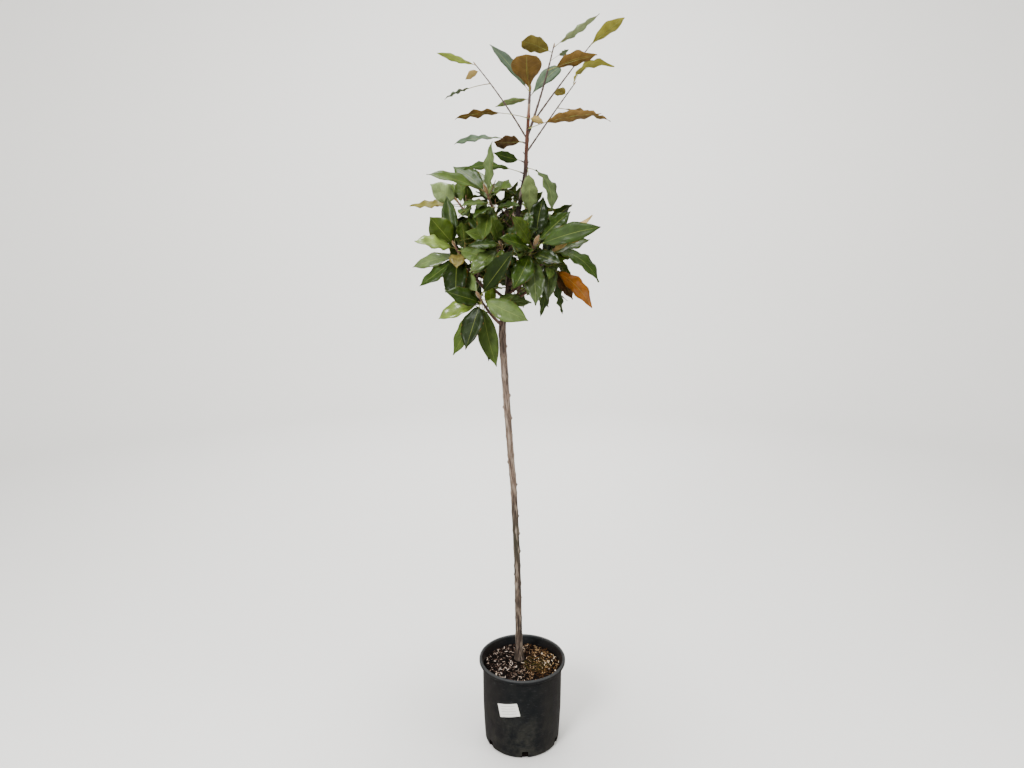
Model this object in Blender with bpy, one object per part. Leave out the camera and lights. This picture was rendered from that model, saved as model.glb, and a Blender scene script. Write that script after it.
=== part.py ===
"""A potted standard magnolia: a clear stem with a loose head of large leaves, in a nursery pot.

Metres, +Z up. The origin is the centre of the pot's flat underside, +X is the right-hand side
seen from the front, and the front looks along +Y. A bearing is measured from +X towards +Y,
so 270 degrees comes straight at the viewer, and a rise is the angle above level.
"""

import math
import random
from collections import namedtuple

import bmesh
import bpy
from mathutils import Matrix, Vector
from mathutils.bvhtree import BVHTree

# Shared
GAP = 0.0003
MM = 0.001
UP = Vector((0.0, 0.0, 1.0))
GOLDEN_ANGLE = math.radians(137.5)
CURVE_STEPS = 24

# Pot
POT_HEIGHT = 0.280
POT_SIDES = 36
RIM_RADIUS = 0.140
RIM_HEIGHT = 0.012
RIM_WIDTH = 0.009
RIM_OUTER_ROUNDING = 0.003
RIM_INNER_ROUNDING = 0.002
RIM_STEP = 0.004
WALL_RADIUS_TOP = 0.1285
WALL_RADIUS_MIDDLE = 0.1275
WALL_MIDDLE_HEIGHT = 0.150
FOOT_RADIUS = 0.1215
FOOT_ROUNDING = 0.008
OUTER_HEIGHTS = (0.040, 0.080, 0.120, 0.160, 0.210)
INNER_HEIGHTS = (0.040, 0.160)
WALL_THICKNESS = 0.0025
FLOOR_THICKNESS = 0.003
FLOOR_FLAT_RADIUS = 0.100
NOTCH_COUNT = 6
NOTCH_FIRST_BEARING = 274.0
NOTCH_WIDTH = 0.015
NOTCH_HEIGHT = 0.019
NOTCH_DEPTH = 0.016
NOTCH_ROUNDING = 0.004

# Potting mix and label
MIX_HEIGHT = 0.254
MIX_ROUGHNESS = 0.0025
MIX_EDGE_DROP = 0.003
MIX_RINGS = (0.108, 0.080, 0.052)
LABEL_WIDTH = 0.068
LABEL_HEIGHT = 0.044
LABEL_THICKNESS = 0.0004
LABEL_TILT = 14.0
LABEL_BEARING = 249.5
LABEL_CENTRE_HEIGHT = 0.168
LABEL_GRID = (8, 4)

# Trunk: where its centre line passes, and its radius there
TRUNK_LINE = (
    (-0.009, 0.030, MIX_HEIGHT + GAP),
    (-0.013, 0.024, 0.450),
    (-0.017, 0.016, 0.610),
    (-0.028, 0.006, 0.846),
    (-0.037, 0.000, 0.962),
    (-0.053, 0.000, 1.181),
    (-0.062, 0.000, 1.355),
    (-0.049, 0.000, 1.420),
    (-0.039, 0.000, 1.549),
    (-0.015, 0.000, 1.692),
    (0.004, 0.000, 1.795),
    (0.0075, 0.000, 1.856),
    (0.015, 0.000, 1.988),
)
TRUNK_RADII = (
    0.0115,
    0.0108,
    0.0102,
    0.0100,
    0.0102,
    0.0105,
    0.0112,
    0.0085,
    0.0078,
    0.0070,
    0.0062,
    0.0055,
    0.0042,
)
TRUNK_SIDES = 9
TRUNK_RINGS = 48
FLARE_HEIGHT = 0.045
FLARE_RADIUS = 0.0060
SCAR_SPACING = 0.062
SCAR_RADIUS = 0.0011
SCAR_LENGTH = 0.007

# Leaves
PETIOLE_SHARE = 0.14
BLADE_FULLEST = 0.48
PETIOLE_WIDTH = 0.0026
BLADE_THICKNESS_SHARE = 0.0125
BLADE_THINNEST = 0.0012
BLADE_STATIONS = (0.19, 0.49, 0.79)
LEAF_TEST_MARGIN = 0.0012
LEAF_NUDGES = (0, 5, -5, 10, -10, 16, -16, 23, -23, 31, -31)
LEAF_SPACING = 0.0048
LOWEST_LEAF = 0.25

# The head's outline, for the leaves that no row below lists
HEAD_CENTRE = Vector((-0.050, 0.010, 1.580))
HEAD_REACH = Vector((0.255, 0.275, 0.215))

# Colours as sRGB hex, and roughness
FINISHES = {
    "moulded_pot": ("#26282b", 0.55),
    "potting_bark": ("#2e241d", 0.95),
    "paper_label": ("#e9e9e6", 0.60),
    "trunk_bark": ("#84705f", 0.85),
    "young_wood": ("#5a3a2c", 0.70),
    "shoot_wood": ("#4a3a30", 0.65),
    "leaf_dark": ("#2f5220", 0.30),
    "leaf_young": ("#77793a", 0.38),
}

# A leaf: bearing and rise of the line from root to tip, in degrees; length and width in
# millimetres; the angle that the blade bends through; how far up its stem it grows; where
# its upper face turns, as bearing and rise; the share of its length that is stalk; and how
# far up the blade is at its widest.
Leaf = namedtuple(
    "Leaf",
    "bearing rise length width bend at facing stalk fullest",
    defaults=(20, None, None, PETIOLE_SHARE, BLADE_FULLEST),
)
UPPER_SHOWS = (270, 45)
UNDERSIDE_SHOWS = (90, 45)
EDGE_SHOWS = (90, 76)

# A limb: what carries it, how high up the carrier it starts, the bud that its line ends at,
# the share of that line that is bare wood, its two radii, and how its line sweeps out.
Limb = namedtuple("Limb", "carrier start bud bare thick thin sweep")

LIMBS = {
    "front_left": Limb("trunk", 1.362, (-0.124, -0.120, 1.453), 0.66, 0.0052, 0.0040, (0.55, 0.35)),
    "left": Limb("trunk", 1.410, (-0.198, -0.030, 1.595), 0.70, 0.0055, 0.0040, (0.62, 0.42)),
    "upper_left": Limb("trunk", 1.540, (-0.192, 0.030, 1.722), 0.68, 0.0050, 0.0038, (0.48, 0.44)),
    "upper_front": Limb("trunk", 1.585, (-0.104, -0.050, 1.741), 0.66, 0.0046, 0.0036, (0.50, 0.38)),
    "front_right": Limb("trunk", 1.480, (0.029, -0.120, 1.598), 0.66, 0.0050, 0.0038, (0.55, 0.38)),
    "right": Limb("trunk", 1.455, (0.078, -0.060, 1.575), 0.68, 0.0048, 0.0036, (0.55, 0.38)),
    "low_right": Limb("trunk", 1.422, (0.087, 0.010, 1.535), 0.68, 0.0046, 0.0034, (0.50, 0.32)),
    "front_middle": Limb("trunk", 1.520, (-0.066, -0.105, 1.600), 0.60, 0.0042, 0.0034, (0.50, 0.36)),
    "back_left": Limb("trunk", 1.438, (-0.150, 0.115, 1.535), 0.58, 0.0050, 0.0036, (0.56, 0.36)),
    "back_low": Limb("trunk", 1.392, (0.000, 0.125, 1.490), 0.58, 0.0048, 0.0036, (0.56, 0.34)),
    "back_right": Limb("trunk", 1.500, (0.088, 0.105, 1.612), 0.58, 0.0046, 0.0034, (0.55, 0.38)),
    "back_high": Limb("trunk", 1.610, (-0.030, 0.098, 1.705), 0.56, 0.0042, 0.0032, (0.55, 0.40)),
    "back_upper_left": Limb("trunk", 1.560, (-0.130, 0.110, 1.650), 0.58, 0.0044, 0.0034, (0.52, 0.40)),
    "back_middle": Limb("trunk", 1.470, (-0.055, 0.165, 1.590), 0.58, 0.0046, 0.0034, (0.56, 0.38)),
    "tall_shoot": Limb("trunk", 1.899, (0.082, -0.010, 2.136), 0.70, 0.0038, 0.0022, (0.58, 0.47)),
    "right_shoot": Limb("tall_shoot", 1.934, (0.191, 0.040, 2.156), 0.76, 0.0028, 0.0018, (0.47, 0.50)),
    "low_shoot": Limb("trunk", 1.856, (0.136, -0.050, 2.028), 0.62, 0.0027, 0.0017, (0.50, 0.52)),
    "left_shoot": Limb("trunk", 1.893, (-0.134, -0.015, 2.088), 0.70, 0.0027, 0.0017, (0.47, 0.56)),
}

# Short spurs on the trunk: height, bearing and reach from the trunk's centre line
Spur = namedtuple("Spur", "height bearing reach")
SPURS = {
    "crossing_leaves": Spur(1.944, 270, 0.013),
    "low_front_leaf": Spur(1.916, 285, 0.014),
    "upper_left_leaves": Spur(1.880, 205, 0.015),
    "middle_left_leaf": Spur(1.828, 205, 0.016),
    "lower_left_leaf": Spur(1.797, 205, 0.016),
    "hanging_leaves": Spur(1.808, 300, 0.015),
}
SPUR_RADIUS = 0.0026
SPUR_RISE = 20
TUFT_REACH = 0.034
LIMB_STEPS = 20
BOUGH_RINGS = 6
BOUGH_SIDES = 6
STEM_RINGS = 4
STEM_SIDES = 6
STEM_TAPER = 0.8

# Where each spray's upper leaf faces turn, as bearing and rise
FACINGS = {
    "front_left": (258, 30),
    "left": (250, 35),
    "upper_left": (240, 50),
    "upper_front": (255, 45),
    "front_right": (275, 35),
    "right": (290, 55),
    "low_right": (300, 40),
    "front_middle": (265, 35),
}

SHOWN_LEAVES = {
    "front_left": (
        Leaf(323, 47, 177, 68, 14),
        Leaf(339, -22, 155, 66, 20),
        Leaf(326, -74, 194, 58, 16),
        Leaf(248, -50, 165, 66, 20),
        Leaf(162, -60, 180, 52, 20),
        Leaf(170, -20, 140, 52, 24),
        Leaf(211, 18, 125, 56, 18),
        Leaf(77, -74, 175, 50, 12),
        Leaf(32, 1, 160, 50, 16),
    ),
    "left": (
        Leaf(200, 48, 108, 74, 12, facing=(262, 12)),
        Leaf(136, 76, 150, 52, 12, facing=(262, 12)),
        Leaf(218, 8, 140, 60, 20),
        Leaf(320, -14, 135, 56, 28),
        Leaf(280, -53, 172, 76, 18),
        Leaf(270, -25, 96, 52, 20, facing=(90, 30)),
        Leaf(168, -14, 150, 50, 14),
        Leaf(180, -35, 150, 48, 16),
    ),
    "upper_left": (
        Leaf(202, 30, 96, 60, 14, facing=(262, 15)),
        Leaf(125, 34, 110, 46, 16),
        Leaf(161, 0, 165, 34, 12),
        Leaf(92, 66, 100, 42, 12),
        Leaf(161, 5, 150, 24, 14),
        Leaf(252, -26, 110, 46, 20),
    ),
    "upper_front": (
        Leaf(208, 13, 185, 52, 26),
        Leaf(142, 33, 155, 60, 22),
        Leaf(281, 63, 155, 38, 8),
        Leaf(303, 10, 125, 54, 24),
        Leaf(61, 29, 130, 50, 20),
        Leaf(260, -49, 150, 60, 16),
        Leaf(232, -7, 125, 46, 22),
        Leaf(123, 52, 125, 46, 18),
    ),
    "front_right": (
        Leaf(69, 61, 150, 60, 10),
        Leaf(27, 39, 150, 56, 16),
        Leaf(352, 16, 192, 66, 24),
        Leaf(235, 40, 130, 56, 14),
        Leaf(227, 13, 135, 54, 20),
        Leaf(243, -42, 150, 62, 18),
        Leaf(278, -60, 165, 58, 20),
        Leaf(309, -12, 130, 52, 24),
    ),
    "right": (
        Leaf(324, -27, 175, 64, 80, facing=(300, 45)),
        Leaf(57, 46, 130, 50, 14),
        Leaf(265, -56, 150, 52, 20),
        Leaf(19, 21, 140, 50, 20),
        Leaf(93, 55, 120, 46, 16),
        Leaf(3, 43, 180, 38, 14),
    ),
    "low_right": (
        Leaf(350, -58, 113, 48, 24, facing=(285, 10)),
        Leaf(349, -44, 168, 58, 46, facing=(300, 22)),
        Leaf(51, -65, 150, 36, 16),
        Leaf(112, -66, 155, 36, 16),
        Leaf(36, -24, 120, 48, 22),
    ),
    "top_tuft": (
        Leaf(142, -3, 125, 28, 16, 0.40, (90, 62), stalk=0.08),
        Leaf(147, 47, 200, 42, 14, 0.92, UPPER_SHOWS, stalk=0.10, fullest=0.53),
        Leaf(265, 25, 150, 84, 12, 0.94, UNDERSIDE_SHOWS, stalk=0.06, fullest=0.66),
        Leaf(32, 42, 140, 48, 16, 0.55, UPPER_SHOWS, stalk=0.08, fullest=0.60),
    ),
    "crossing_leaves": (
        Leaf(205, -5, 222, 32, 40, 0.95, (90, 60), stalk=0.38),
        Leaf(344, -16, 48, 26, 20, 0.80, UNDERSIDE_SHOWS),
    ),
    "low_front_leaf": (
        Leaf(326, 4, 228, 42, 24, 0.95, (90, 60), stalk=0.24),
    ),
    "upper_left_leaves": (
        Leaf(157, 2, 220, 36, 36, 0.95, (270, 48), stalk=0.26, fullest=0.66),
        Leaf(225, -6, 115, 50, 6, 0.80, UNDERSIDE_SHOWS),
    ),
    "middle_left_leaf": (
        Leaf(218, 8, 100, 32, 14, 0.95, (270, 10)),
    ),
    "lower_left_leaf": (
        Leaf(212, 0, 172, 36, 38, 0.95, UPPER_SHOWS, stalk=0.22),
    ),
    "hanging_leaves": (
        Leaf(305, -50, 165, 60, 84, 0.95, (325, 35)),
        Leaf(0, -87, 125, 52, 34, 0.80, (290, 20)),
    ),
    "tall_shoot": (
        Leaf(24, 36, 180, 24, 10, 0.97, UNDERSIDE_SHOWS),
        Leaf(215, 7, 105, 48, 14, 0.80, UNDERSIDE_SHOWS, stalk=0.12, fullest=0.56),
        Leaf(18, 32, 65, 15, 10, 0.50, UNDERSIDE_SHOWS, stalk=0.48),
        Leaf(325, 6, 155, 44, 18, 0.16, UNDERSIDE_SHOWS, stalk=0.18),
    ),
    "right_shoot": (
        Leaf(300, 12, 155, 38, 14, 0.95, UNDERSIDE_SHOWS, stalk=0.04, fullest=0.56),
    ),
    "low_shoot": (
        Leaf(25, 25, 145, 42, 100, 0.97, (90, 65), stalk=0.04, fullest=0.36),
        Leaf(228, 6, 48, 32, 14, 0.62, UNDERSIDE_SHOWS),
        Leaf(17, -9, 165, 26, 14, 0.12, EDGE_SHOWS),
    ),
    "left_shoot": (
        Leaf(159, 20, 130, 24, 16, 0.97, UNDERSIDE_SHOWS, stalk=0.06, fullest=0.60),
        Leaf(197, -33, 50, 24, 20, 0.75, UNDERSIDE_SHOWS),
        Leaf(156, -11, 150, 16, 22, 0.14, EDGE_SHOWS, stalk=0.45),
    ),
    "front_middle": (
        Leaf(255, 40, 110, 48, 18),
        Leaf(200, 20, 105, 48, 20),
        Leaf(320, 24, 115, 48, 20),
        Leaf(240, -35, 120, 52, 22),
        Leaf(300, -48, 125, 54, 22),
        Leaf(180, -40, 110, 46, 22),
        Leaf(20, 50, 105, 46, 16),
    ),
}

# The sprays that grow by rule alone: side twigs, leaves on each tip, and the seed
RULE_SPRAYS = {
    "back_left": (2, 6, 11),
    "back_low": (2, 5, 23),
    "back_right": (2, 6, 37),
    "back_high": (2, 5, 41),
    "back_upper_left": (2, 5, 59),
    "back_middle": (2, 6, 67),
}
TWIG_LENGTHS = (0.045, 0.075)
TWIG_RADIUS = 0.0028
TWIG_SIDES = 5
TWIG_PLACES = (0.25, 0.45)
TWIG_TURN = GOLDEN_ANGLE * 1.4
TWIG_LIFT = 0.012
TWIG_BOW = 0.004
TWIG_OPENING = math.radians(52)
BUD_STATIONS = ((-0.004, 0.8), (0.002, 1.25), (0.009, 0.95), (0.016, 0.25))
RULE_LEAF_LENGTHS = (115, 160)
RULE_SHORTEST_LEAF = 80
RULE_SHORTENING = 0.93
RULE_LEAF_WIDTH = (0.34, 0.40)
RULE_LEAF_BENDS = (16, 30)
RULE_OPENINGS = (math.radians(38), math.radians(100))
RULE_SAG = 0.22
RULE_LEAF_STEP = 0.13
RULE_UPWARD = 0.6


def hex_colour(text):
    """An sRGB hex colour as the linear values that a shader takes."""
    values = [int(text[i : i + 2], 16) / 255 for i in (1, 3, 5)]
    linear = [v / 12.92 if v <= 0.04045 else ((v + 0.055) / 1.055) ** 2.4 for v in values]
    return (*linear, 1.0)


def finish(name):
    """The Principled material of one finish, made once."""
    if name in bpy.data.materials:
        return bpy.data.materials[name]
    colour, roughness = FINISHES[name]
    material = bpy.data.materials.new(name)
    material.use_nodes = True
    shader = material.node_tree.nodes["Principled BSDF"]
    shader.inputs["Base Color"].default_value = hex_colour(colour)
    shader.inputs["Roughness"].default_value = roughness
    shader.inputs["Metallic"].default_value = 0.0
    material.diffuse_color = hex_colour(colour)
    return material


def direction(bearing, rise):
    """The unit vector with this bearing and rise, in degrees."""
    bearing = math.radians(bearing)
    rise = math.radians(rise)
    level = math.cos(rise)
    return Vector((level * math.cos(bearing), level * math.sin(bearing), math.sin(rise)))


def new_object(name, bm, finish_name, smooth=True):
    """The object of a bmesh, with one finish and its faces pointing out."""
    bmesh.ops.recalc_face_normals(bm, faces=bm.faces)
    mesh = bpy.data.meshes.new(name)
    bm.to_mesh(mesh)
    bm.free()
    mesh.materials.append(finish(finish_name))
    if smooth:
        mesh.shade_smooth()
        mesh.set_sharp_from_angle(angle=math.radians(40))
    obj = bpy.data.objects.new(name, mesh)
    bpy.context.scene.collection.objects.link(obj)
    return obj


def make_active(obj):
    bpy.ops.object.select_all(action="DESELECT")
    obj.select_set(True)
    bpy.context.view_layer.objects.active = obj


def boolean(obj, operation, others):
    """Joins or cuts the object with others, which are then gone.

    Leaves that cross at a bud meet at such flat angles that only the MANIFOLD solver joins them.
    """
    tools = bpy.data.collections.new("tools")
    bpy.context.scene.collection.children.link(tools)
    for other in others:
        tools.objects.link(other)
    modifier = obj.modifiers.new("join" if operation == "UNION" else "cut", "BOOLEAN")
    modifier.operation = operation
    modifier.solver = "MANIFOLD" if operation == "UNION" else "EXACT"
    modifier.operand_type = "COLLECTION"
    modifier.collection = tools
    make_active(obj)
    bpy.ops.object.modifier_apply(modifier=modifier.name)
    for other in others:
        bpy.data.objects.remove(other)
    bpy.data.collections.remove(tools)


def lathe(profile, sides):
    """A closed turned shape from a profile of (radius, height), which starts and ends on the axis."""
    bm = bmesh.new()
    verts = [bm.verts.new((radius, 0.0, height)) for radius, height in profile]
    edges = [bm.edges.new(pair) for pair in zip(verts, verts[1:])]
    bmesh.ops.spin(
        bm, geom=verts + edges, axis=UP, angle=math.tau, steps=sides, use_merge=True
    )
    bmesh.ops.remove_doubles(bm, verts=bm.verts, dist=1e-6)
    return bm


def arc(centre, radius, start, end, steps=4):
    """Points on an arc from one angle to another, in degrees."""
    angles = [math.radians(start + (end - start) * i / steps) for i in range(steps + 1)]
    return [
        (centre[0] + radius * math.cos(a), centre[1] + radius * math.sin(a)) for a in angles
    ]


def wall_radius(height):
    """The pot wall's outer radius at a height, drawn in more towards the foot."""
    if height < WALL_MIDDLE_HEIGHT:
        share = (WALL_MIDDLE_HEIGHT - height) / (WALL_MIDDLE_HEIGHT - FOOT_ROUNDING)
        return WALL_RADIUS_MIDDLE - (WALL_RADIUS_MIDDLE - FOOT_RADIUS) * share**1.6
    share = (height - WALL_MIDDLE_HEIGHT) / (POT_HEIGHT - WALL_MIDDLE_HEIGHT)
    return WALL_RADIUS_MIDDLE + (WALL_RADIUS_TOP - WALL_RADIUS_MIDDLE) * share


def make_pot():
    """The thin-walled pot: rolled rim, rounded foot and six notches that let water out."""
    under_rim = POT_HEIGHT - RIM_HEIGHT
    outer = [(0.0, 0.0)]
    outer += arc((FOOT_RADIUS - FOOT_ROUNDING, FOOT_ROUNDING), FOOT_ROUNDING, -90, 0)
    outer += [(wall_radius(z), z) for z in OUTER_HEIGHTS]
    outer += [(wall_radius(under_rim), under_rim)]
    outer += arc(
        (RIM_RADIUS - RIM_INNER_ROUNDING, under_rim + RIM_INNER_ROUNDING), RIM_INNER_ROUNDING, -90, 0, 2
    )
    outer += arc(
        (RIM_RADIUS - RIM_OUTER_ROUNDING, POT_HEIGHT - RIM_OUTER_ROUNDING), RIM_OUTER_ROUNDING, 0, 90, 3
    )
    inner_rim = RIM_RADIUS - RIM_WIDTH + RIM_INNER_ROUNDING
    inner = arc((inner_rim, POT_HEIGHT - RIM_INNER_ROUNDING), RIM_INNER_ROUNDING, 90, 180, 2)
    inner += [(wall_radius(under_rim) - WALL_THICKNESS, under_rim - RIM_STEP)]
    inner += [(wall_radius(z) - WALL_THICKNESS, z) for z in reversed(INNER_HEIGHTS)]
    inner += arc(
        (FOOT_RADIUS - FOOT_ROUNDING, FOOT_ROUNDING), FOOT_ROUNDING - WALL_THICKNESS, 0, -75, 3
    )
    inner += [(FLOOR_FLAT_RADIUS, FLOOR_THICKNESS), (0.0, FLOOR_THICKNESS)]
    pot = new_object("pot", lathe(outer + inner, POT_SIDES), "moulded_pot")
    cutters = []
    for i in range(NOTCH_COUNT):
        bearing = math.radians(NOTCH_FIRST_BEARING + 360 / NOTCH_COUNT * i)
        bm = bmesh.new()
        bmesh.ops.create_cube(bm, size=1.0)
        bmesh.ops.scale(bm, vec=(NOTCH_DEPTH, NOTCH_WIDTH, 2 * NOTCH_HEIGHT), verts=bm.verts)
        upright = [e for e in bm.edges if e.verts[0].co.z > 0 and e.verts[1].co.z > 0]
        along = [e for e in upright if abs(e.verts[0].co.y - e.verts[1].co.y) < 1e-6]
        bmesh.ops.bevel(
            bm, geom=along, offset=NOTCH_ROUNDING, segments=2, affect="EDGES", profile=0.5
        )
        bmesh.ops.translate(bm, vec=(FOOT_RADIUS, 0.0, 0.0), verts=bm.verts)
        turn = Matrix.Rotation(bearing, 3, "Z")
        bmesh.ops.rotate(bm, cent=(0, 0, 0), matrix=turn, verts=bm.verts)
        cutters.append(new_object(f"notch_{i}", bm, "moulded_pot", smooth=False))
    boolean(pot, "DIFFERENCE", cutters)
    return pot


def make_mix():
    """The potting mix that fills the pot, level where the trunk stands and lumpy elsewhere."""
    clearance = WALL_THICKNESS + GAP
    foot = FOOT_ROUNDING - clearance
    floor = FLOOR_THICKNESS + GAP
    profile = [(0.0, floor), (FLOOR_FLAT_RADIUS - GAP, floor)]
    profile += arc((FOOT_RADIUS - FOOT_ROUNDING, FOOT_ROUNDING), foot, -60, 0, 2)
    profile += [(wall_radius(z) - clearance, z) for z in INNER_HEIGHTS]
    profile += [(wall_radius(MIX_HEIGHT) - clearance, MIX_HEIGHT - MIX_EDGE_DROP)]
    profile += [(radius, MIX_HEIGHT) for radius in MIX_RINGS]
    profile += [(0.0, MIX_HEIGHT)]
    bm = lathe(profile, POT_SIDES)
    rng = random.Random(5)
    for vert in bm.verts:
        on_top = vert.co.z > MIX_HEIGHT - MIX_EDGE_DROP / 2
        if on_top and vert.co.xy.length > (MIX_RINGS[-1] + MIX_RINGS[-2]) / 2:
            vert.co.z += rng.uniform(-MIX_ROUGHNESS, MIX_ROUGHNESS)
    return new_object("potting_mix", bm, "potting_bark", smooth=False)


def make_label():
    """The small blank paper label, stuck askew on the wall."""
    columns, rows = LABEL_GRID
    tilt = math.radians(LABEL_TILT)
    middle = math.radians(LABEL_BEARING)
    bm = bmesh.new()
    layers = []
    for stand_off in (GAP, GAP + LABEL_THICKNESS):
        grid = []
        for j in range(rows):
            for i in range(columns):
                across = (i / (columns - 1) - 0.5) * LABEL_WIDTH
                upward = (j / (rows - 1) - 0.5) * LABEL_HEIGHT
                along = across * math.cos(tilt) - upward * math.sin(tilt)
                height = across * math.sin(tilt) + upward * math.cos(tilt) + LABEL_CENTRE_HEIGHT
                radius = wall_radius(height) + stand_off
                bearing = middle + along / radius
                place = (radius * math.cos(bearing), radius * math.sin(bearing), height)
                grid.append(bm.verts.new(place))
        layers.append(grid)
    for grid in layers:
        for j in range(rows - 1):
            for i in range(columns - 1):
                k = j * columns + i
                bm.faces.new((grid[k], grid[k + 1], grid[k + columns + 1], grid[k + columns]))
    bmesh.ops.bridge_loops(bm, edges=[e for e in bm.edges if e.is_boundary])
    return new_object("label", bm, "paper_label")


def smooth_line(points, count):
    """A smooth curve through the points, as count + 1 points spread evenly along it."""
    points = [Vector(p) for p in points]
    ends = [2 * points[0] - points[1], *points, 2 * points[-1] - points[-2]]
    dense = []
    for before, start, end, after in zip(ends, ends[1:], ends[2:], ends[3:]):
        for step in range(CURVE_STEPS):
            t = step / CURVE_STEPS
            dense.append(
                0.5
                * (
                    2 * start
                    + (end - before) * t
                    + (2 * before - 5 * start + 4 * end - after) * t**2
                    + (3 * start - before - 3 * end + after) * t**3
                )
            )
    dense.append(points[-1])
    lengths = [0.0]
    for first, second in zip(dense, dense[1:]):
        lengths.append(lengths[-1] + (second - first).length)
    line = []
    k = 0
    for i in range(count + 1):
        target = lengths[-1] * i / count
        while k < len(dense) - 2 and lengths[k + 1] < target:
            k += 1
        share = (target - lengths[k]) / (lengths[k + 1] - lengths[k])
        line.append(dense[k].lerp(dense[k + 1], share))
    return line


def point_at(line, share):
    """The point this share of the way along an evenly spread line, and the line's direction."""
    place = min(max(share, 0.0), 1.0) * (len(line) - 1)
    k = min(int(place), len(line) - 2)
    return line[k].lerp(line[k + 1], place - k), (line[k + 1] - line[k]).normalized()


def share_at_height(line, height):
    """How far along a rising line it passes a height."""
    for k, (first, second) in enumerate(zip(line, line[1:])):
        if first.z <= height <= second.z:
            return (k + (height - first.z) / (second.z - first.z)) / (len(line) - 1)
    return 1.0


def tube_shape(line, radii, sides):
    """The points and faces of a closed tube round a line."""
    tangent = (line[1] - line[0]).normalized()
    side = tangent.orthogonal().normalized()
    points = []
    for i, centre in enumerate(line):
        nxt = line[min(i + 1, len(line) - 1)]
        last = line[max(i - 1, 0)]
        tangent = (nxt - last).normalized()
        side = (side - side.dot(tangent) * tangent).normalized()
        across = tangent.cross(side)
        for k in range(sides):
            turn = math.tau * k / sides
            points.append(centre + radii[i] * (math.cos(turn) * side + math.sin(turn) * across))
    faces = [tuple(reversed(range(sides)))]
    for i in range(len(line) - 1):
        for k in range(sides):
            m = (k + 1) % sides
            low, high = i * sides, (i + 1) * sides
            faces.append((low + k, low + m, high + m, high + k))
    faces.append(tuple(range((len(line) - 1) * sides, len(line) * sides)))
    return points, faces


def shape_object(name, shape, finish_name, smooth=True):
    """The object of a (points, faces) shape."""
    bm = bmesh.new()
    verts = [bm.verts.new(p) for p in shape[0]]
    for face in shape[1]:
        bm.faces.new([verts[i] for i in face])
    return new_object(name, bm, finish_name, smooth)


def trunk_radius(height):
    """The trunk's radius: its taper, the root flare and a swelling at each old leaf scar."""
    heights = [point[2] for point in TRUNK_LINE]
    k = max([j for j in range(len(heights) - 1) if heights[j] <= height], default=0)
    share = (height - heights[k]) / (heights[k + 1] - heights[k])
    radius = TRUNK_RADII[k] + (TRUNK_RADII[k + 1] - TRUNK_RADII[k]) * share
    radius += FLARE_RADIUS * max(0.0, 1 - (height - heights[0]) / FLARE_HEIGHT) ** 2
    from_scar = (height / SCAR_SPACING) % 1.0 - 0.5
    return radius + SCAR_RADIUS * math.exp(-((from_scar * SCAR_SPACING / SCAR_LENGTH) ** 2))


def trunk_shape(extra=0.0):
    """The trunk's line and shape, cut off level at its foot."""
    line = smooth_line(TRUNK_LINE, TRUNK_RINGS)
    radii = [trunk_radius(point.z) + extra for point in line]
    points, faces = tube_shape(line, radii, TRUNK_SIDES)
    for point in points[:TRUNK_SIDES]:
        point.z = line[0].z
    return line, (points, faces)


def limb_line(limb, carrier_line):
    """A limb's line: out from its carrier's centre, sweeping up to its bud."""
    start, _ = point_at(carrier_line, share_at_height(carrier_line, limb.start))
    span = Vector(limb.bud) - start
    out, lift = limb.sweep
    bend = start + Vector((span.x * out, span.y * out, span.z * lift))
    shares = [step / 8 for step in range(9)]
    curve = [start.lerp(bend, t).lerp(bend.lerp(start + span, t), t) for t in shares]
    return smooth_line(curve, LIMB_STEPS)


def cut_line(line, first, last, count):
    """The stretch of a line between two shares."""
    return [point_at(line, first + (last - first) * i / count)[0] for i in range(count + 1)]


def line_length(line):
    return sum((second - first).length for first, second in zip(line, line[1:]))


def tapered(thick, thin, count):
    return [thick + (thin - thick) * i / count for i in range(count + 1)]


def blade_width(share, fullest):
    """A blade's width, as a share of its widest, from its base to its tip."""
    power = math.log(0.5) / math.log(fullest)
    return max(0.0, math.sin(math.pi * share**power)) ** 0.8


def midrib(leaf, root, facing, at):
    """The point this far along a leaf, and the directions of its tip, side and upper face."""
    chord = direction(leaf.bearing, leaf.rise)
    upper = (facing - facing.dot(chord) * chord).normalized()
    half = math.radians(leaf.bend) / 2
    radius = leaf.length * MM / (2 * math.sin(half))
    angle = half * (1 - 2 * at)
    place = root + chord * radius * (math.sin(half) - math.sin(angle))
    place += upper * radius * (math.cos(angle) - math.cos(half))
    along = chord * math.cos(angle) + upper * math.sin(angle)
    normal = upper * math.cos(angle) - chord * math.sin(angle)
    return place, along, along.cross(normal), normal


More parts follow.
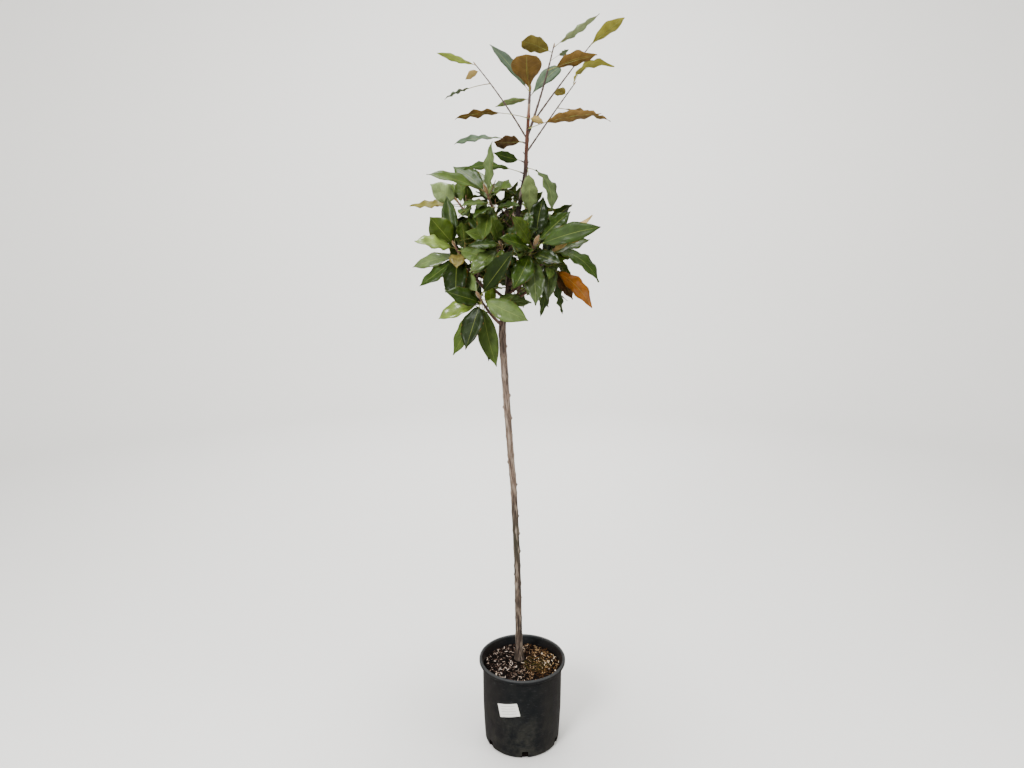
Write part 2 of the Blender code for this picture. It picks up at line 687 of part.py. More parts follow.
def leaf_shape(leaf, root, facing, margin=0.0):
    """A leaf as a closed loft of diamond sections: petiole, blade and pointed tip."""
    points = []
    stations = [0.0, leaf.stalk]
    stations += [leaf.stalk + (1 - leaf.stalk) * share for share in BLADE_STATIONS]
    for i, at in enumerate(stations):
        place, _, side, normal = midrib(leaf, root, facing, at)
        if i < 2:
            half_width = PETIOLE_WIDTH / 2
            half_thickness = PETIOLE_WIDTH / 2
        else:
            half_width = leaf.width * MM / 2 * blade_width(BLADE_STATIONS[i - 2], leaf.fullest)
            half_thickness = max(BLADE_THINNEST, leaf.length * MM * BLADE_THICKNESS_SHARE) / 2
        half_width += margin
        half_thickness += margin
        points += [
            place + side * half_width,
            place + normal * half_thickness,
            place - side * half_width,
            place - normal * half_thickness,
        ]
    tip, along, _, _ = midrib(leaf, root, facing, 1.0)
    points.append(tip + along * margin)
    rings = len(stations)
    faces = [(3, 2, 1, 0)]
    for i in range(rings - 1):
        for k in range(4):
            m = (k + 1) % 4
            faces.append((4 * i + k, 4 * i + m, 4 * i + 4 + m, 4 * i + 4 + k))
    last = 4 * (rings - 1)
    faces += [(last + k, last + (k + 1) % 4, last + 4) for k in range(4)]
    return points, faces


def tree_of(shape):
    return BVHTree.FromPolygons([tuple(p) for p in shape[0]], shape[1])


def blade_tree(shape):
    """The tree of a leaf without its petiole, which may touch its neighbours on the same stem."""
    points, faces = shape
    return BVHTree.FromPolygons([tuple(p) for p in points], [f for f in faces if min(f) >= 4])


def touches(tree, others):
    return any(tree.overlap(other) for other in others)


def placed_leaf(leaf, root, facing, others, own):
    """The leaf turned as little as clears its neighbours, or None where it fits nowhere."""
    for rivals in (others + own, others):
        for lift in LEAF_NUDGES:
            for turn in LEAF_NUDGES:
                tried = leaf._replace(bearing=leaf.bearing + turn, rise=leaf.rise + lift)
                shape = leaf_shape(tried, root, facing, LEAF_TEST_MARGIN)
                tree = tree_of(shape) if rivals is others else blade_tree(shape)
                if touches(tree, rivals) or touches(tree_of(shape), others):
                    continue
                return tried
    return None


def in_head(point):
    """Whether a point lies inside the round head of leaves."""
    away = point - HEAD_CENTRE
    return sum((away[i] / HEAD_REACH[i]) ** 2 for i in range(3)) < 1.0


def rule_leaves(rng, bud, axis, count):
    """Leaves that spiral down from a bud by the golden angle, opening wider as they get older."""
    side = axis.orthogonal().normalized()
    across = axis.cross(side)
    phase = rng.uniform(0, math.tau)
    leaves = []
    for i in range(count):
        turn = phase + GOLDEN_ANGLE * i
        opening = RULE_OPENINGS[0] + (RULE_OPENINGS[1] - RULE_OPENINGS[0]) * i / count
        heading = axis * math.cos(opening)
        heading += (side * math.cos(turn) + across * math.sin(turn)) * math.sin(opening)
        heading.z -= RULE_SAG
        heading.normalize()
        length = rng.uniform(*RULE_LEAF_LENGTHS)
        width = length * rng.uniform(*RULE_LEAF_WIDTH)
        bend = rng.uniform(*RULE_LEAF_BENDS)
        while length > RULE_SHORTEST_LEAF and not in_head(bud + heading * length * MM):
            length *= RULE_SHORTENING
            width *= RULE_SHORTENING
        bearing = math.degrees(math.atan2(heading.y, heading.x))
        rise = math.degrees(math.asin(heading.z))
        leaves.append(Leaf(bearing, rise, length, width, bend))
    return leaves


def side_twigs(rng, stem_line, count):
    """Side twigs that leave a stem in turn, a golden angle apart, as lines."""
    phase = rng.uniform(0, math.tau)
    twigs = []
    for i in range(count):
        start, axis = point_at(stem_line, TWIG_PLACES[i])
        side = axis.orthogonal().normalized()
        across = axis.cross(side)
        turn = phase + TWIG_TURN * i
        out = side * math.cos(turn) + across * math.sin(turn)
        heading = axis * math.cos(TWIG_OPENING) + out * math.sin(TWIG_OPENING)
        end = start + heading * rng.uniform(*TWIG_LENGTHS) + UP * TWIG_LIFT
        middle = start.lerp(end, 0.5) + out * TWIG_BOW
        twigs.append(smooth_line((start, middle, end), 4))
    return twigs


def bud_shape(line, radius):
    """The pointed bud that ends a stem."""
    end, axis = point_at(line, 1.0)
    centres = [end + axis * along for along, _ in BUD_STATIONS]
    return tube_shape(centres, [radius * width for _, width in BUD_STATIONS], TWIG_SIDES)


def trace_limbs():
    """Every limb's full line, the trunk's first."""
    lines = {"trunk": trunk_shape()[0]}
    for name, limb in LIMBS.items():
        lines[name] = limb_line(limb, lines[limb.carrier])
    return lines


def trace_stems(lines):
    """The line, radius and carrier of each spray's stem. A carrier is named where it is cut."""
    stems = {}
    for name, limb in LIMBS.items():
        line = lines[name]
        bare = limb.bare + GAP / line_length(line)
        stems[name] = (cut_line(line, bare, 1.0, STEM_RINGS), limb.thin, None)
    trunk = lines["trunk"]
    for name, spur in SPURS.items():
        start, _ = point_at(trunk, share_at_height(trunk, spur.height))
        end = start + direction(spur.bearing, SPUR_RISE) * spur.reach
        stems[name] = (smooth_line((start, end), 3), SPUR_RADIUS, "trunk")
    tip, axis = point_at(trunk, 1.0)
    tuft = (tip + axis * GAP, tip + axis * TUFT_REACH)
    stems["top_tuft"] = (smooth_line(tuft, 3), TRUNK_RADII[-1], None)
    return stems


def shown_roots(name, line):
    """The rows of one spray's leaves with the point on the stem that each grows from."""
    spacing = LEAF_SPACING / line_length(line)
    for i, leaf in enumerate(SHOWN_LEAVES[name]):
        share = max(LOWEST_LEAF, 1 - spacing * i) if leaf.at is None else leaf.at
        yield leaf, point_at(line, share)[0]


def leaf_sources(name, line, twigs):
    """Each leaf of a spray, with its root and the way that its upper face turns."""
    if name in SHOWN_LEAVES:
        for leaf, root in shown_roots(name, line):
            yield leaf, root, direction(*(leaf.facing or FACINGS[name]))
        return
    rng = random.Random(name)
    for twig in (line, *twigs):
        bud, axis = point_at(twig, 1.0)
        for i, leaf in enumerate(rule_leaves(rng, bud, axis, RULE_SPRAYS[name][1])):
            root, _ = point_at(twig, 1 - RULE_LEAF_STEP * i)
            yield leaf, root, (axis + UP * RULE_UPWARD).normalized()


def make_wood(lines):
    """The trunk and the bare boughs, each cut clear of what carries it."""
    line, shape = trunk_shape()
    nodes = [shape_object("trunk", shape, "trunk_bark")]
    shapes = {"trunk": shape}
    clear_shapes = {"trunk": trunk_shape(GAP)[1]}
    for name, limb in LIMBS.items():
        line = cut_line(lines[name], 0.0, limb.bare, BOUGH_RINGS)
        radii = tapered(limb.thick, limb.thin, BOUGH_RINGS)
        shapes[name] = tube_shape(line, radii, BOUGH_SIDES)
        clear_shapes[name] = tube_shape(line, [r + GAP for r in radii], BOUGH_SIDES)
        shoot = name.endswith("shoot")
        finish_name = "shoot_wood" if shoot else "young_wood"
        bough = shape_object(name if shoot else name + "_bough", shapes[name], finish_name)
        cutter = shape_object("cutter", clear_shapes[limb.carrier], finish_name)
        boolean(bough, "DIFFERENCE", [cutter])
        nodes.append(bough)
    return nodes, shapes, clear_shapes


def stem_shapes(name, stem, twigs):
    """The shapes of a spray's stem, its bud, and its twigs with theirs."""
    line, radius, _ = stem
    shapes = [tube_shape(line, tapered(radius, radius * STEM_TAPER, len(line) - 1), STEM_SIDES)]
    if name not in SPURS:
        shapes.append(bud_shape(line, radius * STEM_TAPER))
    for twig in twigs:
        radii = tapered(TWIG_RADIUS, TWIG_RADIUS * STEM_TAPER, len(twig) - 1)
        shapes.append(tube_shape(twig, radii, TWIG_SIDES))
        shapes.append(bud_shape(twig, TWIG_RADIUS * STEM_TAPER))
    return shapes


def grow_leaves(stems, twigs, woody, wood_shapes):
    """Every spray's leaves, as shapes. A leaf that can't clear the other sprays is left off."""
    trees = {name: [] for name in stems}
    leaves = {name: [] for name in stems}
    limbs = [tree_of(shape) for shape in wood_shapes.values()]
    stem_trees = {name: [tree_of(shape) for shape in woody[name]] for name in stems}
    for name, (line, _, _) in stems.items():
        others = list(limbs)
        for other in stems:
            if other != name:
                others += trees[other] + stem_trees[other]
        own = []
        for leaf, root, facing in leaf_sources(name, line, twigs[name]):
            leaf = placed_leaf(leaf, root, facing, others, own)
            if leaf is None:
                continue
            shape = leaf_shape(leaf, root, facing)
            own.append(blade_tree(shape))
            trees[name].append(tree_of(shape))
            leaves[name].append(shape)
    return leaves


def make_spray(name, stem, woody, leaves, clear_shapes):
    """One mass of foliage: its stem, twigs, buds and leaves joined into one solid."""
    young = name in SPURS or name.endswith("shoot") or name == "top_tuft"
    finish_name = "leaf_young" if young else "leaf_dark"
    node_name = name if name in SPURS or name == "top_tuft" else name + "_spray"
    spray = shape_object(node_name, woody[0], finish_name)
    if stem[2]:
        cutter = shape_object("cutter", clear_shapes[stem[2]], finish_name)
        boolean(spray, "DIFFERENCE", [cutter])
    pieces = [shape_object("piece", shape, finish_name) for shape in woody[1:] + leaves]
    boolean(spray, "UNION", pieces)
    return spray


def main():
    for old in list(bpy.data.objects):
        bpy.data.objects.remove(old)
    nodes = [make_pot(), make_mix(), make_label()]
    lines = trace_limbs()
    wood, wood_shapes, clear_shapes = make_wood(lines)
    nodes += wood
    stems = trace_stems(lines)
    twigs = {name: () for name in stems}
    for name, (count, _, seed) in RULE_SPRAYS.items():
        twigs[name] = side_twigs(random.Random(seed), stems[name][0], count)
    woody = {name: stem_shapes(name, stem, twigs[name]) for name, stem in stems.items()}
    leaves = grow_leaves(stems, twigs, woody, wood_shapes)
    for name, stem in stems.items():
        nodes.append(make_spray(name, stem, woody[name], leaves[name], clear_shapes))
    print(sum(len(group) for group in leaves.values()), "leaves on", len(stems), "sprays")
    plant = bpy.data.objects.new("magnolia", None)
    bpy.context.scene.collection.objects.link(plant)
    for node in nodes:
        node.parent = plant


if __name__ == "__main__":
    main()
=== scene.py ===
# %% [markdown]
# # A potted standard magnolia
# An evergreen magnolia is grown as a small tree: one clear stem, a loose round head of big
# leathery leaves, and a few long young shoots that have outgrown it. It stands in a black
# nursery pot. The plant's solids are already packed, so this script only dresses them. It
# loads them as a fixed frame and gives each one its fine surface.

# %% Load the solids
import math
import random
from collections import namedtuple

import bpy
import numpy as np
from mathutils import Matrix, Vector, noise
from mathutils.bvhtree import BVHTree


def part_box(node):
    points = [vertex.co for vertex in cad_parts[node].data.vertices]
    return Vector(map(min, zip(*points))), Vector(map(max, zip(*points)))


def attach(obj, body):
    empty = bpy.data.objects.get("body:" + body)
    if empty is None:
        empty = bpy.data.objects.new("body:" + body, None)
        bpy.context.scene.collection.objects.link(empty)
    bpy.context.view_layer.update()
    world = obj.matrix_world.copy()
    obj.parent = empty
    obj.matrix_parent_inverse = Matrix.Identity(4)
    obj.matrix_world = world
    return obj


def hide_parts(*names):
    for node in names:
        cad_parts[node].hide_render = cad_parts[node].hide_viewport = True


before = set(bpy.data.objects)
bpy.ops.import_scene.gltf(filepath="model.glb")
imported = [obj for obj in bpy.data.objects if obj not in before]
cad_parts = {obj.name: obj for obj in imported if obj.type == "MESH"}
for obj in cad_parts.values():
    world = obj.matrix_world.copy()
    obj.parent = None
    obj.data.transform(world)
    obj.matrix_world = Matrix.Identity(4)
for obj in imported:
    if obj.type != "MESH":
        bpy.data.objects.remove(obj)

bpy.ops.object.select_all(action="DESELECT")
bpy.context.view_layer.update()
MM = 0.001
GAP = 0.3 * MM
UP = Vector((0.0, 0.0, 1.0))

# %% [markdown]
# ## Small helpers
# Colours are written as sRGB hex, as a colour picker shows them, and a shader wants linear
# values, so one function turns them. A surface is a material with one method for each kind of
# node that this script uses, so that a node takes one line. Two more functions apply a
# modifier and make a mesh object from arrays.


# %% Colour and material helpers
def linear(text):
    """An sRGB hex colour as linear RGBA."""
    values = [int(text[i : i + 2], 16) / 255 for i in (1, 3, 5)]
    return (*(v / 12.92 if v <= 0.04045 else ((v + 0.055) / 1.055) ** 2.4 for v in values), 1.0)


class Surface:
    """A Principled material. A value may be plain, a hex colour or another node's output."""

    def __init__(self, name, **constants):
        self.material = bpy.data.materials.new(name)
        self.material.use_nodes = True
        self.tree = self.material.node_tree
        self.shader = self.tree.nodes["Principled BSDF"]
        self.shade(**constants)

    def fill(self, made, inputs):
        for socket, value in inputs.items():
            if isinstance(value, bpy.types.NodeSocket):
                self.tree.links.new(value, made.inputs[socket])
                continue
            made.inputs[socket].default_value = linear(value) if isinstance(value, str) else value

    def shade(self, **inputs):
        """Sets or links inputs of the Principled shader itself."""
        self.fill(self.shader, {name.replace("_", " "): value for name, value in inputs.items()})

    def node(self, kind, inputs, output=0, **settings):
        made = self.tree.nodes.new("ShaderNode" + kind)
        for name, value in settings.items():
            setattr(made, name, value)
        self.fill(made, inputs)
        return made.outputs[output]

    def place(self):
        """The Object coordinates, which stay with a piece when it is moved."""
        return self.node("TexCoord", {}, "Object")

    def carried(self, name, output):
        """A value that the mesh carries at each of its points."""
        return self.node("Attribute", {}, output, attribute_name=name)

    def parts(self, place):
        return self.node("SeparateXYZ", {0: place}).node.outputs

    def stretched(self, place, *scale):
        return self.node("Mapping", {"Vector": place, "Scale": scale})

    def noise(self, place, scale, detail, roughness=0.5):
        inputs = {"Vector": place, "Scale": scale, "Detail": detail, "Roughness": roughness}
        return self.node("TexNoise", inputs, "Fac")

    def math(self, operation, *values):
        return self.node("Math", dict(enumerate(values)), operation=operation)

    def mapped(self, value, start, end, low=0.0, high=1.0):
        """Takes a value from one range to another, held at its ends."""
        return self.node("MapRange", {0: value, 1: start, 2: end, 3: low, 4: high})

    def mix(self, share, first, second):
        return self.node("Mix", {0: share, 6: first, 7: second}, 2, data_type="RGBA")

    def bright(self, value, colour):
        return self.node("HueSaturation", {"Value": value, "Color": colour})

    def ramp(self, value, stops):
        colour = self.node("ValToRGB", {0: value})
        elements = colour.node.color_ramp.elements
        while len(elements) < len(stops):
            elements.new(1.0)
        for element, (place, text) in zip(elements, stops):
            element.position = place
            element.color = linear(text)
        return colour

    def bump(self, height, strength, distance):
        inputs = {"Height": height, "Strength": strength, "Distance": distance}
        self.shade(Normal=self.node("Bump", inputs))


# %% Modifier and mesh helpers
def apply_modifier(piece, kind, **settings):
    """Adds a modifier with its settings and applies it."""
    modifier = piece.modifiers.new(kind.lower(), kind)
    for name, value in settings.items():
        setattr(modifier, name, value)
    bpy.context.view_layer.objects.active = piece
    bpy.ops.object.modifier_apply(modifier=modifier.name)


def mesh_piece(name, points, faces):
    """A new object from arrays of points and faces."""
    mesh = bpy.data.meshes.new(name)
    mesh.from_pydata(points, [], faces)
    piece = bpy.data.objects.new(name, mesh)
    bpy.context.scene.collection.objects.link(piece)
    return piece


# %% [markdown]
# ## The studio
# A pale floor that curves up into a pale wall leaves nothing behind the plant but light. The
# camera stands at eye height, about two metres away, and looks ten degrees down. A soft lamp
# on the left gives the leaves their gloss, a weaker one on the right fills their shadows, a
# wide one above lights the crown, and the last one lights the wall.

# %% Camera
EYE_HEIGHT = 1.5697
EYE_DISTANCE = 2.0863
EYE_SIDEWAYS = -0.0333
LOOK_DOWN = math.radians(10.46)
IMAGE_WIDTH = 1024
FOCAL_PIXELS = 700
SENSOR_MM = 36.0

bpy.ops.object.camera_add(
    location=(EYE_SIDEWAYS, -EYE_DISTANCE, EYE_HEIGHT),
    rotation=(math.pi / 2 - LOOK_DOWN, 0.0, 0.0),
)
camera = bpy.context.object
camera.data.sensor_width = SENSOR_MM
camera.data.lens = FOCAL_PIXELS / IMAGE_WIDTH * SENSOR_MM
camera.data.dof.use_dof = False
bpy.context.scene.camera = camera
print("lens", round(camera.data.lens, 2), "mm")

# %% Floor, wall and light
FLOOR_RADIUS = 5.0
FLOOR_SIDES = 96
WALL_HEIGHT = 6.0
SWEEP_RADIUS = 2.0
SWEEP_STEPS = 12
SKY_STRENGTH = 0.35

bpy.ops.mesh.primitive_circle_add(vertices=FLOOR_SIDES, radius=FLOOR_RADIUS, fill_type="NGON")
sweep = bpy.context.object
sweep.name = "studio_sweep"
bpy.ops.object.mode_set(mode="EDIT")
bpy.ops.mesh.select_all(action="SELECT")
reach = FLOOR_RADIUS
for step in range(1, SWEEP_STEPS + 1):
    turn = math.pi / 2 * step / SWEEP_STEPS
    last = math.pi / 2 * (step - 1) / SWEEP_STEPS
    wider = FLOOR_RADIUS + SWEEP_RADIUS * math.sin(turn)
    if step == 1:
        bpy.ops.mesh.select_all(action="SELECT")
        bpy.ops.mesh.region_to_loop()
    bpy.ops.mesh.extrude_edges_move()
    lift = SWEEP_RADIUS * (math.cos(last) - math.cos(turn))
    bpy.ops.transform.translate(value=(0.0, 0.0, lift))
    bpy.ops.transform.resize(value=(wider / reach, wider / reach, 1.0), center_override=(0, 0, 0))
    reach = wider
bpy.ops.mesh.extrude_edges_move(TRANSFORM_OT_translate={"value": (0.0, 0.0, WALL_HEIGHT)})
bpy.ops.mesh.select_all(action="SELECT")
bpy.ops.mesh.normals_make_consistent(inside=True)
bpy.ops.object.mode_set(mode="OBJECT")
bpy.ops.object.shade_smooth()
paper = Surface("studio_paper", Roughness=0.9, Base_Color="#f1f0ed")
sweep.data.materials.append(paper.material)
sweep.visible_glossy = False

world = bpy.data.worlds.new("studio_air")
bpy.context.scene.world = world
world.use_nodes = True
world.node_tree.nodes["Background"].inputs["Color"].default_value = linear("#faf8f2")
world.node_tree.nodes["Background"].inputs["Strength"].default_value = SKY_STRENGTH

HEAD_SPOT = (0.0, 0.0, 1.3)
WALL_SPOT = (0.0, 7.0, 2.6)
LAMPS = (  # name, place, size in metres, power in watts, what it points at
    ("key", (-1.7, -2.5, 2.9), 1.3, 150.0, HEAD_SPOT),
    ("fill", (2.6, -1.4, 2.4), 2.0, 40.0, HEAD_SPOT),
    ("top", (-0.2, 0.2, 4.9), 2.2, 290.0, HEAD_SPOT),
    ("wall", (0.0, 2.4, 4.6), 2.4, 320.0, WALL_SPOT),
)
for lamp_name, place, size, power, aim in LAMPS:
    bpy.ops.object.light_add(type="AREA", location=place)
    lamp = bpy.context.object
    lamp.name = lamp_name
    lamp.data.shape = "DISK"
    lamp.data.size = size
    lamp.data.energy = power
    lamp.rotation_euler = (Vector(aim) - Vector(place)).to_track_quat("-Z", "Y").to_euler()
bpy.ops.object.select_all(action="DESELECT")
print("lamps:", len(LAMPS))

# %% [markdown]
# ## Turned shapes
# The pot and the mix in it are round, so both start as one circle whose edge is extruded
# from ring to ring along a profile, as one would do by hand. Each ring is a radius and a
# height. Where the profile reaches the axis, one flat face closes the piece.


# %% A circle extruded along a profile
def turned(name, profile, sides):
    """A turned piece from (radius, height) points, with a flat face at each end on the axis."""
    radius, height = profile[1]
    bpy.ops.mesh.primitive_circle_add(
        vertices=sides, radius=radius, location=(0.0, 0.0, height), fill_type="NOTHING"
    )
    piece = bpy.context.object
    piece.name = name
    bpy.ops.object.transform_apply(location=True, rotation=False, scale=False)
    bpy.ops.object.mode_set(mode="EDIT")
    bpy.ops.mesh.select_all(action="SELECT")
    for next_radius, next_height in profile[2:-1]:
        bpy.ops.mesh.extrude_edges_move(
            TRANSFORM_OT_translate={"value": (0.0, 0.0, next_height - height)}
        )
        share = next_radius / radius
        bpy.ops.transform.resize(value=(share, share, 1.0), center_override=(0, 0, 0))
        radius, height = next_radius, next_height
    bpy.ops.mesh.select_all(action="SELECT")
    bpy.ops.mesh.fill_holes(sides=0)
    bpy.ops.mesh.normals_make_consistent(inside=False)
    bpy.ops.mesh.select_all(action="DESELECT")
    bpy.ops.object.mode_set(mode="OBJECT")
    return piece


def arc(centre, radius, start, end, steps):
    """Points on an arc from one angle to another, in degrees."""
    angles = [math.radians(start + (end - start) * i / steps) for i in range(steps + 1)]
    return [(centre[0] + radius * math.cos(a), centre[1] + radius * math.sin(a)) for a in angles]


def finish_piece(piece, surfaces, nodes=(), smooth_angle=None):
    """Gives a piece its materials, its smoothing, its body and the solids it stands for."""
    for surface in surfaces:
        piece.data.materials.append(surface.material)
    if smooth_angle is not None:
        bpy.ops.object.select_all(action="DESELECT")
        piece.select_set(True)
        bpy.context.view_layer.objects.active = piece
        bpy.ops.object.shade_smooth_by_angle(angle=math.radians(smooth_angle))
        piece.select_set(False)
    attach(piece, "root")
    if nodes:
        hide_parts(*nodes)
    print(piece.name, len(piece.data.polygons), "faces")


# %% [markdown]
# ## The nursery pot
# Such pots are blow-moulded or injection-moulded in black polypropylene with a thin wall, a
# rolled rim, a rounded foot and small notches round the foot that let water out. The wall is
# turned with its thickness in the profile, and a Boolean modifier cuts the notches.

# %% Pot profile
_, POT_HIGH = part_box("pot")
POT_HEIGHT = POT_HIGH.z
RIM_RADIUS = POT_HIGH.y
RIM_HEIGHT = 0.012
RIM_WIDTH = 0.009
WALL_RADIUS_TOP = 0.1285
WALL_RADIUS_MIDDLE = 0.1275
WALL_MIDDLE_HEIGHT = 0.150
FOOT_RADIUS = 0.1215
FOOT_ROUNDING = 0.008
WALL_THICKNESS = 0.0025
FLOOR_THICKNESS = 0.003
FLOOR_FLAT_RADIUS = 0.100
POT_SIDES = 128
RIM_ROUNDING = 0.003
UNDERCUT = 0.004
WALL_STEP = 0.020
WALL_STEPS = 12


def wall_radius(height):
    """The pot wall's outer radius at a height, drawn in more towards the foot."""
    if height < WALL_MIDDLE_HEIGHT:
        share = max(0.0, (WALL_MIDDLE_HEIGHT - height) / (WALL_MIDDLE_HEIGHT - FOOT_ROUNDING))
        return WALL_RADIUS_MIDDLE - (WALL_RADIUS_MIDDLE - FOOT_RADIUS) * share**1.6
    share = (height - WALL_MIDDLE_HEIGHT) / (POT_HEIGHT - WALL_MIDDLE_HEIGHT)
    return WALL_RADIUS_MIDDLE + (WALL_RADIUS_TOP - WALL_RADIUS_MIDDLE) * share


under_rim = POT_HEIGHT - RIM_HEIGHT
foot_centre = (FOOT_RADIUS - FOOT_ROUNDING, FOOT_ROUNDING)
wall_heights = [WALL_STEP + WALL_STEP * i for i in range(WALL_STEPS)]
profile = [(0.0, 0.0)] + arc(foot_centre, FOOT_ROUNDING, -90, 0, 6)
profile += [(wall_radius(z), z) for z in wall_heights]
profile += [(wall_radius(under_rim), under_rim)]
profile += arc((RIM_RADIUS - RIM_ROUNDING, under_rim + RIM_ROUNDING), RIM_ROUNDING, -90, 0, 4)
profile += arc((RIM_RADIUS - RIM_ROUNDING, POT_HEIGHT - RIM_ROUNDING), RIM_ROUNDING, 0, 90, 5)
inner_rim = RIM_RADIUS - RIM_WIDTH + RIM_ROUNDING
profile += arc((inner_rim, POT_HEIGHT - RIM_ROUNDING), RIM_ROUNDING, 90, 180, 4)
profile += [(wall_radius(under_rim) - WALL_THICKNESS, under_rim - UNDERCUT)]
profile += [(wall_radius(z) - WALL_THICKNESS, z) for z in reversed(wall_heights[:-1])]
profile += arc(foot_centre, FOOT_ROUNDING - WALL_THICKNESS, 0, -75, 4)
profile += [(FLOOR_FLAT_RADIUS, FLOOR_THICKNESS), (0.0, FLOOR_THICKNESS)]
pot = turned("moulded_pot", profile, POT_SIDES)

# %% Notches round the foot
NOTCH_COUNT = 6
NOTCH_FIRST_BEARING = math.radians(274.0)
NOTCH_SIZE = (0.018, 0.020, 0.050)
NOTCH_ROUNDING = 0.004

for index in range(NOTCH_COUNT):
    bearing = NOTCH_FIRST_BEARING + math.tau / NOTCH_COUNT * index
    bpy.ops.mesh.primitive_cube_add(
        size=1.0,
        location=(FOOT_RADIUS * math.cos(bearing), FOOT_RADIUS * math.sin(bearing), 0.0),
        rotation=(0.0, 0.0, bearing),
    )
    notch = bpy.context.object
    notch.scale = NOTCH_SIZE
    bpy.ops.object.transform_apply(location=False, rotation=False, scale=True)
    apply_modifier(notch, "BEVEL", width=NOTCH_ROUNDING, segments=3)
    apply_modifier(pot, "BOOLEAN", object=notch)
    bpy.data.objects.remove(notch)

# %% [markdown]
# ## Black polypropylene
# The pot is moulded black plastic that has stood outside. New, it is nearly black with a
# satin skin. Weather leaves a film of dust, more towards the foot. The brown tinge on both
# sides is painted sheen, the warm reflection that the wall catches towards its edges.
# Handling leaves short pale scuffs round the wall. The top of the rim is painted paler,
# partly for its worn edge and partly as a painted highlight.

# %% Pot material
plastic = Surface("moulded_polypropylene", IOR=1.49, Specular_IOR_Level=0.28)
place = plastic.place()
across, _, height = plastic.parts(place)
clouds = plastic.noise(place, 26.0, 9.0, 0.76)
mottle = plastic.mapped(clouds, 0.44, 0.62)
near_foot = plastic.mapped(height, 0.20, 0.03, 0.22, 0.85)
dusty = plastic.mix(plastic.math("MULTIPLY", mottle, near_foot), "#0b0e12", "#34332c")
# The brown tinge on the left and right sides is painted sheen, the warm reflection that the wall
# catches towards its edges.
right_sheen = plastic.mapped(across, 0.04, 0.13, 0.0, 0.7)
left_sheen = plastic.mapped(across, -0.04, -0.12, 0.0, 0.6)
brown_tinted = plastic.mix(plastic.math("MAXIMUM", right_sheen, left_sheen), dusty, "#221b17")
scuffs = plastic.noise(plastic.stretched(place, 60.0, 60.0, 420.0), 1.0, 3.0, 0.7)
scuff_mask = plastic.mapped(scuffs, 0.60, 0.74, 0.0, 0.6)
# The paler band at the top of the rim is partly its worn edge and partly a painted highlight.
rim_wear_and_highlight = plastic.mapped(height, POT_HEIGHT - 0.006, POT_HEIGHT - 0.001, 0.0, 0.45)
scuffs_and_rim_highlight = plastic.mix(plastic.math("MAXIMUM", scuff_mask, rim_wear_and_highlight), brown_tinted, "#4b4d4e")
plastic.shade(Base_Color=scuffs_and_rim_highlight, Roughness=plastic.mapped(clouds, 0.0, 1.0, 0.30, 0.62))
grain = plastic.noise(place, 900.0, 2.0)
dents = plastic.math("MULTIPLY", plastic.noise(place, 22.0, 1.0), 6.0)
plastic.bump(plastic.math("ADD", dents, grain), 0.35, 0.0008)
finish_piece(pot, [plastic], ["pot"], smooth_angle=35)

# %% [markdown]
# ## The label
# A white self-adhesive label is stuck askew on the wall. It has nothing printed on it but a
# few faint ruled lines. It starts as a grid, which is bent round the wall point by point,
# and a Solidify modifier gives it the thickness of coated paper.

# %% Label
LABEL_SIZE = (0.068, 0.044)
LABEL_TILT = math.radians(14.0)
LABEL_BEARING = math.radians(249.5)
LABEL_HEIGHT = 0.168
LABEL_CURL = 0.0010

bpy.ops.mesh.primitive_grid_add(x_subdivisions=24, y_subdivisions=16, size=1.0, calc_uvs=True)
label = bpy.context.object
label.name = "paper_label"
for vert in label.data.vertices:
    across, upward = vert.co.x * LABEL_SIZE[0], vert.co.y * LABEL_SIZE[1]
    along = across * math.cos(LABEL_TILT) - upward * math.sin(LABEL_TILT)
    level = LABEL_HEIGHT + across * math.sin(LABEL_TILT) + upward * math.cos(LABEL_TILT)
    corner = max(0.0, abs(vert.co.x) + abs(vert.co.y) - 0.8) / 0.2
    radius = wall_radius(level) + GAP + LABEL_CURL * corner**2
    bearing = LABEL_BEARING + along / radius
    vert.co = (radius * math.cos(bearing), radius * math.sin(bearing), level)
apply_modifier(label, "SOLIDIFY", thickness=0.25 * MM, offset=1.0)

# %% Label material
coated = Surface("coated_paper", IOR=1.5, Roughness=0.42)
sheet = coated.node("UVMap", {})
along, upward, _ = coated.parts(sheet)
ruled = coated.math("FRACT", coated.math("MULTIPLY", upward, 5.0))
stripes = coated.math("LESS_THAN", ruled, 0.22)
inset = coated.math("COMPARE", along, 0.5, 0.36)
faint = coated.math("MULTIPLY", coated.math("MULTIPLY", stripes, inset), 0.6)
soiled = coated.noise(sheet, 5.0, 5.0)
coated.shade(Base_Color=coated.mix(faint, coated.mix(soiled, "#f4f4f1", "#dcdad2"), "#9a9c98"))
coated.bump(soiled, 0.3, 0.0008)
finish_piece(label, [coated], ["label"], smooth_angle=50)

# %% [markdown]
# ## The plant's rule
# The solids were grown by a rule: a trunk line, limbs that sweep up from it to a bud, and
# leaves that leave each stem in turn. The same rule is written again here, with the same
# sizes and the same order of random draws, so the fine leaves land where the solid ones are.
# A leaf that would touch a neighbour turns a few degrees until it clears.

